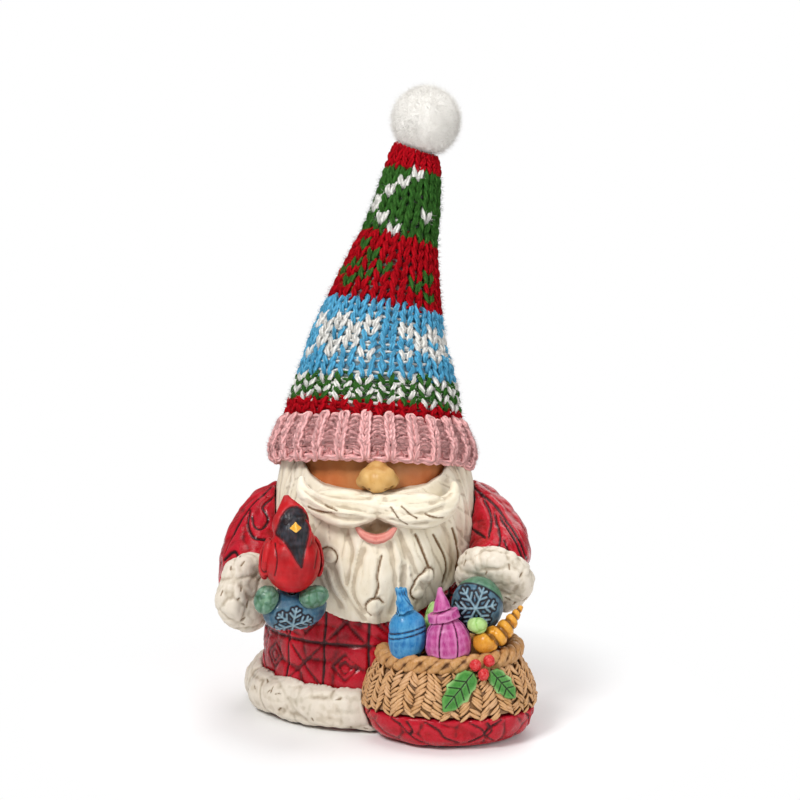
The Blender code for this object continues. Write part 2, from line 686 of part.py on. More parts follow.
def make_hat(head):
    cuff = knitted_shell("hat_cuff", "knit_pink", CUFF_STATIONS, CUFF_THICKNESS, 2, 9)
    closed_tip = CROWN_STATIONS[:-1] + [(*CROWN_STATIONS[-1][:3], 0.05)]
    crown = tube("hat_crown", "knit_colours", closed_tip, steps=1, sides=9)
    inside = [(x, y, z, r - KNIT_THICKNESS) for x, y, z, r in CROWN_STATIONS[:-4]]
    below = Vector(CUFF_STATIONS[-2][:3])
    first = Vector(inside[0][:3])
    mouth = first + (below - first).normalized() * 2.0
    hollow = tube("hat_hollow", None, [(*mouth, inside[0][3] + 0.8), *inside], steps=1, sides=9)
    boolean(crown, hollow, "DIFFERENCE")
    yield_to(crown, cuff)
    spare = KNIT_THICKNESS + 2 * GAP
    core = [(x, y, z, r - spare) for x, y, z, r in CROWN_STATIONS[1:-5]]
    wadding = tube("hat_wadding", "wool_white", core, steps=1, sides=9)
    yield_to(wadding, head)
    return cuff, crown, wadding


def make_pompom():
    ball = ellipsoid("pompom", "wool_white", POMPOM_CENTRE, (POMPOM_RADIUS,) * 3, segments=20,
                     rings=12)
    tip = Vector(CROWN_STATIONS[-1][:3])
    outward = (Vector(POMPOM_CENTRE) - tip).normalized()
    start = tip + outward * (GAP + 0.1)
    end = tip + outward * 5.0
    tie = rod("pompom_tie", "wool_white", start, end, TIE_RADIUS, 10)
    return yield_to(ball, tie), tie


# ---------------------------------------------------------------- the whole figurine
def main():
    felt, robe, hem = make_base()
    head, hair = make_head(robe)
    beard = make_beard(robe, head)
    hat_cuff, hat_crown, hat_wadding = make_hat(head)
    yield_to(hair, hat_cuff, hat_crown)
    boolean(hair, hat_room(), "DIFFERENCE")
    boolean(beard, above_mouth(), "DIFFERENCE")
    moustaches, nose, lip = make_face(head, beard)
    front = (robe, hair, beard, hem)

    right_sleeve, right_cuff = make_arm(
        "right",
        [(-21, 3, 59, 7.0), (-28.5, 1.5, 54, 9.3), (-33, -4, 46.5, 10.3),
         (-34.4, -12, 40.5, 9.8), (-35.2, -23, 37.2, 7.5)],
        RIGHT_CUFF, front)
    left_sleeve, left_cuff = make_arm(
        "left",
        [(21, 3, 59, 7.0), (28.5, 1.5, 54, 9.3), (33, -4, 48, 10.3),
         (34.4, -12, 45, 9.8), (33.6, -23, 42.6, 7.5)],
        LEFT_CUFF, front)

    palm, thumb, fingers = make_right_mitten((right_cuff, beard, robe, hair, right_sleeve))
    left_mitten = make_left_mitten((left_cuff, beard, robe, left_sleeve))
    make_bird((palm, thumb, fingers, beard, right_cuff, right_sleeve, *moustaches))

    basket = make_basket(robe, hem, felt)
    yield_to(left_mitten, *basket)
    yield_to(left_cuff, *basket)
    make_baubles(basket, (left_mitten, beard, robe, left_cuff))
    make_holly(basket)

    make_pompom()

    peg("neck_peg", "bare_resin", (0, 3, 17), (0, 3, 33), 3.0, robe, head)
    peg("right_arm_peg", "bare_resin", (-25, -4, 44), (-34, -6, 43.5), 2.0, robe, right_sleeve)
    peg("left_arm_peg", "bare_resin", (25, -4, 44), (34, -6, 43.5), 2.0, robe, left_sleeve)
    peg("basket_peg_upper", "steel_pin", (18, -18, 16), (19, -32, 16), 1.0, robe, basket[1])
    peg("bird_pin", "steel_pin", (-21, -40, 36), (-21, -40.5, 46), 0.8, palm,
        bpy.data.objects["bird_body"])


main()
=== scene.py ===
"""The looks of a tomte gnome figurine: painted, carved resin under a hat of real knitting.

Lengths are in millimetres and turned into metres by MM when a mesh is made. The figure faces -Y.
Castings are clay: a CAD solid remeshed finely, with strokes, strands, lumps and nicks pressed into
it and the paint's dark wash kept where they are. The hat is knitted stitch by stitch from yarn.
"""

import math

import bmesh
import bpy
import numpy as np
from mathutils import Matrix, Vector, kdtree


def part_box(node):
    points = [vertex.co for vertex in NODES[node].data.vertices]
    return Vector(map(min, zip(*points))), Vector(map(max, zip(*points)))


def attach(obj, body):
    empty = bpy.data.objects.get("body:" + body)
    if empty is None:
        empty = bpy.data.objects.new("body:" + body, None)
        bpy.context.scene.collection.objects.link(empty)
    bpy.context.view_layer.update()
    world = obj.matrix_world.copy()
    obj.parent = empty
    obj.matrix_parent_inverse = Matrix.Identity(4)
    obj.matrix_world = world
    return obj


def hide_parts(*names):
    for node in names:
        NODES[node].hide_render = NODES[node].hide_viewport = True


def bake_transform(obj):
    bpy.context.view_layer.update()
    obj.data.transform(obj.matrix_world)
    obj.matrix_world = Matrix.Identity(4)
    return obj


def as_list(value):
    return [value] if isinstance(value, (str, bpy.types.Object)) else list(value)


MM = 0.001
FIGURE, HAT, POMPOM = "figure", "hat", "pompom"

# The hat's bent axis, each (x, y, z, outer radius), as the CAD shell has it
CUFF_STATIONS = [
    (-0.8, -0.6, 69.2, 29.2),
    (-0.7, 0.2, 72.6, 29.7),
    (-0.6, 1.0, 77.0, 28.3),
    (-0.4, 1.9, 82.4, 25.9),
]
CROWN_STATIONS = [
    (-0.5, 1.6, 80.6, 26.0),
    (0.1, 2.7, 88.0, 24.4),
    (0.5, 3.5, 95.0, 22.5),
    (1.0, 4.5, 102.5, 20.3),
    (2.9, 5.9, 114.0, 16.8),
    (5.2, 7.3, 125.3, 13.6),
    (7.2, 8.4, 134.0, 11.2),
    (9.1, 9.4, 142.5, 9.8),
    (10.3, 10.2, 149.5, 8.7),
    (10.9, 10.6, 153.4, 7.9),
    (11.4, 10.6, 155.5, 6.4),
    (11.6, 10.5, 156.5, 4.0),
    (11.65, 10.45, 156.8, 1.2),
]
ROBE_RADIUS = 32.0
ROBE_DEPTH = 0.95  # how deep the robe's plan is for its width
HAIR_RADIUS = 28.0
BASKET_FOOT_RADIUS = 20.0
BASKET_CENTRE = (20.4, -33.0)
BASKET_DEPTH = 0.75
BASKET_TOP = 20.8
BASKET_TILT = (2.4, 2.6)  # degrees that its mouth falls to the front and to the left
STROKE_STEP = 0.25  # between the points that a cut is sampled at

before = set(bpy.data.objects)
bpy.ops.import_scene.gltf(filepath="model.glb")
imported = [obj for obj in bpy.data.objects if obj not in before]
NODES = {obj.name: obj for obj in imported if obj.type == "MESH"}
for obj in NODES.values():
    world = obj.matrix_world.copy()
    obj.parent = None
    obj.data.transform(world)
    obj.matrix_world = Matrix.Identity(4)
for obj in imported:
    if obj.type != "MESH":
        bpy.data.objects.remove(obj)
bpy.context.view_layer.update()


# ---------------------------------------------------------------- numbers
def smoothstep(low, high, x):
    """0 up to low and 1 from high on, with a soft rise between them."""
    t = np.clip((x - low) / (high - low), 0.0, 1.0)
    return t * t * (3 - 2 * t)


def lattice(ix, iy, iz, seed):
    """A repeatable random number from -1 to 1 for each whole-numbered cell."""
    n = ix * 73856093 ^ iy * 19349663 ^ iz * 83492791 ^ (seed * 2654435761 & 0x7FFFFFFF)
    n = (n << 13) ^ n
    n = (n * (n * n * 15731 + 789221) + 1376312589) & 0x7FFFFFFF
    return n / 0x3FFFFFFF - 1.0


def noise(points, size, seed=0):
    """Smooth noise from -1 to 1 whose bumps are about size millimetres; size may be per axis."""
    p = np.asarray(points) / np.asarray(size)
    cell = np.floor(p).astype(np.int64)
    f = p - cell
    f = f * f * (3 - 2 * f)
    total = 0.0
    for corner in np.ndindex(2, 2, 2):
        weight = 1.0
        for axis in range(3):
            weight = weight * (f[:, axis] if corner[axis] else 1 - f[:, axis])
        total = total + weight * lattice(*(cell[:, a] + corner[a] for a in range(3)), seed)
    return total


def unit(v):
    """Each vector at length one."""
    return v / np.maximum(np.linalg.norm(v, axis=-1, keepdims=True), 1e-9)


def smooth_line(stations, steps):
    """A Catmull-Rom curve through the stations, with that many steps to a span."""
    p = np.array([stations[0], *stations, stations[-1]], float)
    rows = []
    for i in range(1, len(p) - 2):
        a, b, c, d = p[i - 1:i + 3]
        for t in np.arange(steps) / steps:
            rows.append(0.5 * (2 * b + (c - a) * t + (2 * a - 5 * b + 4 * c - d) * t * t
                               + (3 * b - a - 3 * c + d) * t ** 3))
    rows.append(p[-1])
    return np.array(rows)


# ---------------------------------------------------------------- meshes
def make_object(name, points, faces, body=None, nodes=(), material=None):
    """A smooth-shaded mesh from points in millimetres, riding on a body for those CAD nodes."""
    mesh = bpy.data.meshes.new(name)
    points = np.asarray(points, float)
    faces = np.asarray(faces, np.int32)
    corners = faces.shape[1]
    mesh.vertices.add(len(points))
    mesh.vertices.foreach_set("co", (points * MM).ravel())
    mesh.loops.add(faces.size)
    mesh.loops.foreach_set("vertex_index", faces.ravel())
    mesh.polygons.add(len(faces))
    mesh.polygons.foreach_set("loop_start", np.arange(0, faces.size, corners, dtype=np.int32))
    mesh.update(calc_edges=True)
    mesh.shade_smooth()
    obj = bpy.data.objects.new(name, mesh)
    bpy.context.scene.collection.objects.link(obj)
    dress(obj, body, nodes, material)
    return obj


def dress(obj, body, nodes, material):
    """Gives an object its material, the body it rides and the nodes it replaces."""
    if material:
        obj.data.materials.append(material)
    if body:
        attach(obj, body)
    if nodes:
        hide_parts(*nodes)


def set_values(mesh, name, values):
    """Stores one number per point for the material to read."""
    layer = mesh.attributes.new(name, "FLOAT", "POINT")
    layer.data.foreach_set("value", np.asarray(values, np.float32))


def set_colours(mesh, name, colours):
    """Stores one colour per point for the material to read."""
    layer = mesh.attributes.new(name, "FLOAT_COLOR", "POINT")
    rgba = np.ones((len(mesh.vertices), 4), np.float32)
    rgba[:, :3] = colours
    layer.data.foreach_set("color", rgba.ravel())


def tubes(paths, radii, sides, up, plies=0, turns_per_mm=0.0):
    """Points and four-cornered faces of many yarns at once. paths is (yarns, points, 3), and up
    is the way that each cross-section's first corner looks. plies twist round the yarn. The ends
    are closed where sides is even."""
    count, length, _ = paths.shape
    tangent = unit(np.gradient(paths, axis=1))
    up = unit(up - tangent * np.sum(up * tangent, axis=-1, keepdims=True))
    side = np.cross(tangent, up)
    steps = np.linalg.norm(np.diff(paths, axis=1), axis=-1)
    along = np.concatenate([np.zeros((count, 1)), np.cumsum(steps, axis=1)], axis=1)
    angle = np.arange(sides) * 2 * math.pi / sides
    lobes = 1.0
    if plies:
        phase = plies * angle + (along * turns_per_mm * 2 * math.pi)[..., None]
        lobes = 1 + 0.27 * np.cos(phase)
    reach = radii[..., None] * lobes * np.ones(sides)
    points = (paths[:, :, None, :]
              + reach[..., None] * (np.cos(angle)[:, None] * up[:, :, None, :]
                                    + np.sin(angle)[:, None] * side[:, :, None, :]))
    index = np.arange(count * length * sides).reshape(count, length, sides)
    a = index[:, :-1, :]
    b = np.roll(index, -1, axis=2)[:, :-1, :]
    c = np.roll(index, -1, axis=2)[:, 1:, :]
    d = index[:, 1:, :]
    faces = np.stack([a, b, c, d], axis=-1).reshape(-1, 4)
    caps = []
    if sides % 2 == 0:
        for ring in (index[:, 0, ::-1], index[:, -1, :]):
            caps.extend(ring[:, [0, k, k + 1, k + 2]] for k in range(1, sides - 1, 2))
    faces = np.concatenate([faces, *caps])
    along = np.repeat(along[..., None], sides, axis=2)
    return points.reshape(-1, 3), faces, along.ravel(), np.tile(angle, count * length)


# ---------------------------------------------------------------- clay
def solid_of(node):
    """Points in millimetres and triangles of a CAD node."""
    bm = bmesh.new()
    bm.from_mesh(NODES[node].data)
    bmesh.ops.remove_doubles(bm, verts=bm.verts, dist=1e-6)
    bmesh.ops.triangulate(bm, faces=bm.faces)
    points = np.array([v.co for v in bm.verts]) / MM
    bm.verts.index_update()
    faces = np.array([[v.index for v in f.verts] for f in bm.faces])
    bm.free()
    return points, faces


def egg(centre, radii, turn=(0, 0, 0), segments=28, rings=16):
    """Points and triangles of an ellipsoid, turned by degrees about X, Y and Z."""
    bm = bmesh.new()
    bmesh.ops.create_uvsphere(bm, u_segments=segments, v_segments=rings, radius=1.0)
    rotation = Matrix.Rotation(math.radians(turn[2]), 3, "Z")
    rotation = rotation @ Matrix.Rotation(math.radians(turn[1]), 3, "Y")
    rotation = rotation @ Matrix.Rotation(math.radians(turn[0]), 3, "X")
    bmesh.ops.triangulate(bm, faces=bm.faces)
    bm.verts.index_update()
    points = np.array([v.co for v in bm.verts]) * radii
    faces = np.array([[v.index for v in f.verts] for f in bm.faces])
    bm.free()
    return points @ np.array(rotation).T + np.array(centre), faces


def horn(stations, sides=16):
    """Points and faces of a tapering round body along (x, y, z, radius) stations."""
    line = smooth_line(stations, 5)
    up = np.tile([0.0, -1.0, 0.01], (1, len(line), 1))
    points, faces, _, _ = tubes(line[None, :, :3], line[None, :, 3], sides, up)
    return points, np.concatenate([faces[:, [0, 1, 2]], faces[:, [0, 2, 3]]])


class Clay:
    """A finely remeshed solid, pressed with strokes. Its ink marks where they are."""

    def __init__(self, shapes, voxel, rounding):
        offset, points, faces = 0, [], []
        for shape_points, shape_faces in shapes:
            points.append(shape_points)
            faces.append(shape_faces + offset)
            offset += len(shape_points)
        obj = make_object("clay", np.concatenate(points), np.concatenate(faces))
        remesh = obj.modifiers.new("remesh", "REMESH")
        remesh.mode = "VOXEL"
        remesh.voxel_size = voxel * MM
        smooth = obj.modifiers.new("smooth", "SMOOTH")
        smooth.iterations = rounding
        smooth.factor = 0.5
        graph = bpy.context.evaluated_depsgraph_get()
        self.mesh = bpy.data.meshes.new_from_object(obj.evaluated_get(graph))
        bpy.data.objects.remove(obj, do_unlink=True)
        self.at = self.read("vertices", "co", 3) / MM
        self.edges = self.read("edges", "vertices", 2).astype(np.int64)
        self.ink = np.zeros(len(self.at))
        self.find_normals()

    def read(self, kind, field, width):
        """One row of numbers for each of the mesh's vertices or edges."""
        rows = getattr(self.mesh, kind)
        values = np.empty(len(rows) * width, np.float32 if field == "co" else np.int32)
        rows.foreach_get(field, values)
        return values.reshape(-1, width)

    def find_normals(self):
        """Gives the mesh its points as they are now, and reads back the way each one faces."""
        self.mesh.vertices.foreach_set("co", (self.at * MM).astype(np.float32).ravel())
        self.mesh.update()
        normals = np.empty(len(self.at) * 3, np.float32)
        self.mesh.vertex_normals.foreach_get("vector", normals)
        self.normal = normals.reshape(-1, 3).astype(float)

    def lift(self, height):
        """Moves each point out along its normal, in millimetres."""
        self.at = self.at + self.normal * np.asarray(height)[:, None]
        self.find_normals()

    def tuck(self, where, depth):
        """Pushes an edge into its neighbour, so that the joint between them is a clean line."""
        self.lift(depth * self.average(where.astype(float), 2))

    def front(self):
        """1 where the surface faces the viewer, fading to 0 at the sides."""
        return smoothstep(0.0, 0.35, -self.normal[:, 1])

    def face(self):
        """The points as seen from the front, as (x, z)."""
        return self.at[:, [0, 2]]

    def near(self, flat, strokes):
        """Each point's distance to the closest stroke in flat coordinates, and its signed side."""
        samples, direction = [], []
        for stroke in strokes:
            line = smooth_line([(*p, 0.0) for p in stroke], 8)[:, :2]
            lengths = np.linalg.norm(np.diff(line, axis=0), axis=1)
            total = np.concatenate([[0], np.cumsum(lengths)])
            at = np.linspace(0, total[-1], max(2, int(total[-1] / STROKE_STEP)))
            points = np.stack([np.interp(at, total, line[:, k]) for k in range(2)], axis=1)
            samples.append(points)
            direction.append(unit(np.gradient(points, axis=0)))
        samples = np.concatenate(samples)
        direction = np.concatenate(direction)
        tree = kdtree.KDTree(len(samples))
        for i, (x, y) in enumerate(samples):
            tree.insert((x, y, 0.0), i)
        tree.balance()
        found = [tree.find((x, y, 0.0)) for x, y in flat]
        index = np.array([f[1] for f in found])
        distance = np.array([f[2] for f in found])
        away = flat - samples[index]
        side = direction[index, 0] * away[:, 1] - direction[index, 1] * away[:, 0]
        return distance, side

    def carve(self, flat, strokes, width, depth, ink=1.0, overlap=0.0, where=1.0):
        """Presses grooves. overlap raises one side of each, as a lock that lies over the next."""
        distance, side = self.near(flat, strokes)
        groove = np.exp(-(distance / width) ** 2)
        bank = overlap * np.exp(-distance / (4 * width)) * smoothstep(0, width, side)
        self.ink = np.maximum(self.ink, ink * np.exp(-(distance / (width * 0.9)) ** 2) * where)
        self.lift((bank - depth * groove) * where)

    def strands(self, across, along, spacing, depth, seed, ink, where=1.0, waver=1.6):
        """Presses long wavering grooves that come and go, spaced in millimetres."""
        flat = np.stack([across, along, np.zeros_like(along)], axis=1)
        warp = waver * noise(flat, (14.0, 11.0, 1.0), seed) + 0.35 * waver * noise(flat, 4.5, seed)
        phase = (across + warp) / spacing
        lane = np.floor(phase)
        v = np.abs(phase - lane - 0.5) * 2
        lane = np.stack([np.round(phase), along / 9.0, np.zeros_like(along)], axis=1)
        strength = smoothstep(-0.5, 0.6, noise(lane, 1.0, seed + 5)) * where
        self.ink = np.maximum(self.ink, ink * v ** 10 * strength)
        self.lift(-depth * v ** 5 * strength)

    def lumps(self, size, height, seed, ink, where=1.0):
        """Presses the surface into rounded tufts with soft creases between them."""
        space = self.at / size
        cell = np.floor(space).astype(np.int64)
        first = np.full(len(space), 9.0)
        second = np.full(len(space), 9.0)
        for step in np.ndindex(3, 3, 3):
            c = cell + np.array(step) - 1
            jitter = [0.5 + 0.42 * lattice(c[:, 0], c[:, 1], c[:, 2], seed + k) for k in range(3)]
            d = np.linalg.norm(space - (c + np.stack(jitter, axis=1)), axis=1)
            second = np.where(d < first, first, np.minimum(second, d))
            first = np.minimum(first, d)
        crease = 1 - smoothstep(0.0, 0.22, second - first)
        self.ink = np.maximum(self.ink, ink * crease ** 2 * where)
        self.lift(height * (0.6 - first - 0.25 * crease) * where)

    def nicks(self, count, length, width, depth, seed, along):
        """Short scattered cuts that run roughly the given way over the surface."""
        rng = np.random.default_rng(seed)
        samples = []
        for pick in rng.choice(len(self.at), count):
            heading = np.array(along) + rng.normal(0, 0.45, 3)
            n = self.normal[pick]
            heading = unit(heading - n * np.dot(heading, n))
            reach = length * rng.uniform(0.5, 1.2) / 2
            for t in np.arange(-reach, reach, STROKE_STEP):
                samples.append(self.at[pick] + heading * t)
        tree = kdtree.KDTree(len(samples))
        for i, p in enumerate(samples):
            tree.insert(p, i)
        tree.balance()
        distance = np.array([tree.find(p)[2] for p in self.at])
        cut = np.exp(-(distance / width) ** 2)
        self.ink = np.maximum(self.ink, cut)
        self.lift(-depth * cut)

    def roughen(self, size, height, seed):
        """Presses in soft unevenness whose bumps are about size across."""
        self.lift(height * noise(self.at, size, seed))

    def average(self, values, rounds):
        """Each point's value blended with its neighbours'."""
        a, b = self.edges.T
        n = len(self.at)
        share = np.bincount(a, minlength=n) + np.bincount(b, minlength=n) + 1.0
        for _ in range(rounds):
            total = np.bincount(a, values[b], n) + np.bincount(b, values[a], n)
            values = (values + total) / share
        return values

    def hollows(self):
        """From -1 on ridges to 1 in hollows, from the surface's own curvature."""
        mean = np.stack([self.average(self.at[:, k], 3) for k in range(3)], axis=1)
        fine = np.sum((mean - self.at) * self.normal, axis=1)
        mean = np.stack([self.average(self.at[:, k], 14) for k in range(3)], axis=1)
        broad = np.sum((mean - self.at) * self.normal, axis=1)
        return np.clip(self.average(fine * 9 + broad * 3.5, 1), -1, 1)

    def finish(self, name, body, nodes, material, paint=None):
        """Makes the piece. paint is a colour per point for materials that read it."""
        set_values(self.mesh, "hollow", self.hollows())
        set_values(self.mesh, "ink", self.ink)
        if paint is not None:
            set_colours(self.mesh, "paint", paint)
        self.mesh.shade_smooth()
        self.mesh.name = name
        obj = bpy.data.objects.new(name, self.mesh)
        bpy.context.scene.collection.objects.link(obj)
        dress(obj, body, nodes, material)
        return obj


# ---------------------------------------------------------------- materials
class Shader:
    """Short-hand for one material's nodes."""

    def __init__(self, name):
        self.material = bpy.data.materials.new(name)
        self.material.use_nodes = True
        self.tree = self.material.node_tree
        self.bsdf = self.tree.nodes["Principled BSDF"]
        self.place = self.node("ShaderNodeTexCoord").outputs["Object"]

    def node(self, kind, **settings):
        """A new node with those settings."""
        made = self.tree.nodes.new(kind)
        for key, value in settings.items():
            setattr(made, key, value)
        return made

    def put(self, socket, value):
        """Links a socket to an input, or sets it to a number or a colour."""
        if isinstance(value, bpy.types.NodeSocket):
            self.tree.links.new(value, socket)
        elif isinstance(value, tuple) and len(value) == 3 and len(socket.default_value) == 4:
            socket.default_value = (*value, 1.0)
        else:
            socket.default_value = value

    def set(self, **inputs):
        """Puts values on the surface's inputs, named with _ for each space."""
        for key, value in inputs.items():
            self.put(self.bsdf.inputs[key.replace("_", " ")], value)

    def noise(self, size, detail, stretch=(1, 1, 1), rough=0.55, distortion=0.0):
        """Noise from 0 to 1 whose bumps are about size millimetres, longer where stretched."""
        mapping = self.node("ShaderNodeMapping")
        mapping.inputs["Scale"].default_value = [1 / (MM * size * s) for s in stretch]
        self.put(mapping.inputs["Vector"], self.place)
        texture = self.node("ShaderNodeTexNoise")
        self.put(texture.inputs["Vector"], mapping.outputs["Vector"])
        self.put(texture.inputs["Scale"], 1.0)
        self.put(texture.inputs["Detail"], detail)
        self.put(texture.inputs["Roughness"], rough)
        self.put(texture.inputs["Distortion"], distortion)
        return texture.outputs["Fac"]

    def attribute(self, name, output="Fac"):
        return self.node("ShaderNodeAttribute", attribute_name=name).outputs[output]

    def math(self, operation, a, b=0.0):
        made = self.node("ShaderNodeMath", operation=operation)
        self.put(made.inputs[0], a)
        self.put(made.inputs[1], b)
        return made.outputs[0]

    def span(self, value, low, high, to_low=0.0, to_high=1.0):
        """value from low to high, made to run between the other two numbers."""
        made = self.node("ShaderNodeMapRange", clamp=True)
        for key, number in (("From Min", low), ("From Max", high), ("To Min", to_low),
                            ("To Max", to_high), ("Value", value)):
            self.put(made.inputs[key], number)
        return made.outputs["Result"]

    def mix(self, a, b, share, blend="MIX"):
        made = self.node("ShaderNodeMix", data_type="RGBA", blend_type=blend)
        self.put(made.inputs[0], share)
        self.put(made.inputs[6], a)
        self.put(made.inputs[7], b)
        return made.outputs[2]

    def bump(self, height, distance, strength):
        made = self.node("ShaderNodeBump")
        self.put(made.inputs["Height"], height)
        self.put(made.inputs["Distance"], distance * MM)
        self.put(made.inputs["Strength"], strength)
        return made.outputs["Normal"]


def resin(name, colour, deep, pale, wash, gloss, coat, wash_power=1.0, mottle=2.5,
          painted=False):
    """Hand-painted resin: brushed colour between a deep and a pale shade, a dark wash left in the
    cuts and hollows, a painted highlight of the pale shade on the ridges, and a satin lacquer over
    it."""
    s = Shader(name)
    base = s.attribute("paint", "Color") if painted else colour
    broad = s.span(s.noise(mottle * 2.2, 4.0), 0.35, 0.65)
    brush = s.span(s.noise(mottle * 0.45, 5.0, stretch=(1, 1, 2.6), distortion=0.6), 0.38, 0.68)
    shade = s.mix(base, deep, s.math("MULTIPLY", broad, 0.55), "MULTIPLY" if painted else "MIX")
    shade = s.mix(shade, pale, s.math("MULTIPLY", brush, 0.3), "SCREEN" if painted else "MIX")
    hollow = s.attribute("hollow")
    # Painted highlight: the pale shade is laid over the ridges, more the sharper they are.
    ridge_highlight = s.span(hollow, -0.12, -0.55, 0.0, 0.45)
    shade = s.mix(shade, pale, ridge_highlight, "SCREEN" if painted else "MIX")
    pit = s.math("MULTIPLY", s.span(hollow, 0.06, 0.6), 0.75 * wash_power)
    pit = s.math("MULTIPLY", pit, s.span(s.noise(1.6, 3.0), 0.25, 0.6, 0.55, 1.0))
    shade = s.mix(shade, wash, pit)
    line = s.span(s.attribute("ink"), 0.25, 0.75)
    shade = s.mix(shade, wash, s.math("MULTIPLY", line, 0.92))
    fleck = s.span(s.noise(0.5, 2.0), 0.66, 0.74, 0.0, 0.35 * wash_power)
    shade = s.mix(shade, wash, fleck)
    rough = s.span(s.noise(1.4, 4.0), 0.3, 0.7, gloss - 0.08, gloss + 0.14)
    normal = s.bump(s.noise(0.9, 5.0, stretch=(1, 1, 1.8)), 0.12, 0.6)
    s.set(Base_Color=shade, Roughness=rough, Normal=normal, Coat_Weight=coat,
          Coat_Roughness=0.16, Specular_IOR_Level=0.2)
    return s.material


def yarn(name, colour, pale):
    """Soft acrylic yarn: plies of fine fibres that wind round it, with a felted sheen."""
    s = Shader(name)
    along = s.attribute("along")
    around = s.attribute("around")
    twist = s.math("MULTIPLY", along, PLY_TWIST)
    slant = s.math("ADD", twist, s.math("MULTIPLY", around, float(PLIES)))
    ply = s.math("COSINE", slant)
    wind = s.math("ADD", s.math("MULTIPLY", along, PLY_TWIST / PLIES), around)
    place = s.node("ShaderNodeCombineXYZ")
    s.put(place.inputs[0], s.math("MULTIPLY", s.math("COSINE", wind), 4.5))
    s.put(place.inputs[1], s.math("MULTIPLY", s.math("SINE", wind), 4.5))
    s.put(place.inputs[2], s.math("MULTIPLY", along, 0.45))
    fibre = s.node("ShaderNodeTexNoise")
    s.put(fibre.inputs["Vector"], place.outputs[0])
    s.put(fibre.inputs["Scale"], 1.0)
    s.put(fibre.inputs["Detail"], 3.0)
    fibre = fibre.outputs["Fac"]
    tone = s.span(s.noise(3.0, 3.0), 0.3, 0.7)
    shade = s.mix(colour, pale, s.math("MULTIPLY", s.span(fibre, 0.5, 0.72), 0.7))
    shade = s.mix(shade, colour, s.math("MULTIPLY", tone, 0.4))
    # Painted shade: a darker copy of the yarn's colour laid into the low parts of the bump,
    # between the fibres and in the grooves between the plies.
    ply_shade = tuple(0.45 * c ** 1.4 for c in colour)
    shade = s.mix(shade, ply_shade, s.span(fibre, 0.46, 0.3, 0.0, 0.5))
    shade = s.mix(shade, ply_shade, s.span(ply, -0.2, -1.0, 0.0, 0.5))
    height = s.math("ADD", s.math("MULTIPLY", ply, 0.35), fibre)
    normal = s.bump(height, 0.3, 0.9)
    s.set(Base_Color=shade, Roughness=0.92, Normal=normal, Sheen_Weight=0.2,
          Sheen_Roughness=0.5, Sheen_Tint=(*pale, 1.0), Specular_IOR_Level=0.08)
    return s.material


def wool(name, colour, shadow, size):
    """Loose matted fibres, for wadding, pompom and felt."""
    s = Shader(name)
    clump = s.span(s.noise(size * 5, 4.0, distortion=0.8), 0.35, 0.7)
    strand = s.span(s.noise(size, 5.0, stretch=(1, 3, 1), rough=0.7, distortion=1.5), 0.35, 0.7)
    shade = s.mix(colour, shadow, s.math("MULTIPLY", clump, 0.35))
    shade = s.mix(shade, shadow, s.math("MULTIPLY", strand, 0.3))
    normal = s.bump(strand, 0.3, 0.5)
    s.set(Base_Color=shade, Roughness=0.95, Normal=normal, Sheen_Weight=0.3, Sheen_Roughness=0.5,
          Specular_IOR_Level=0.1)
    return s.material


def black_steel(name):
    """Blackened pin steel with a fine drawn grain."""
    s = Shader(name)
    grain = s.noise(0.3, 4.0, stretch=(1, 1, 8))
    s.set(Base_Color=s.mix((0.02, 0.02, 0.022), (0.06, 0.06, 0.06), grain), Metallic=1.0,
          Roughness=s.span(grain, 0.3, 0.7, 0.25, 0.45), Normal=s.bump(grain, 0.02, 0.4))
    return s.material


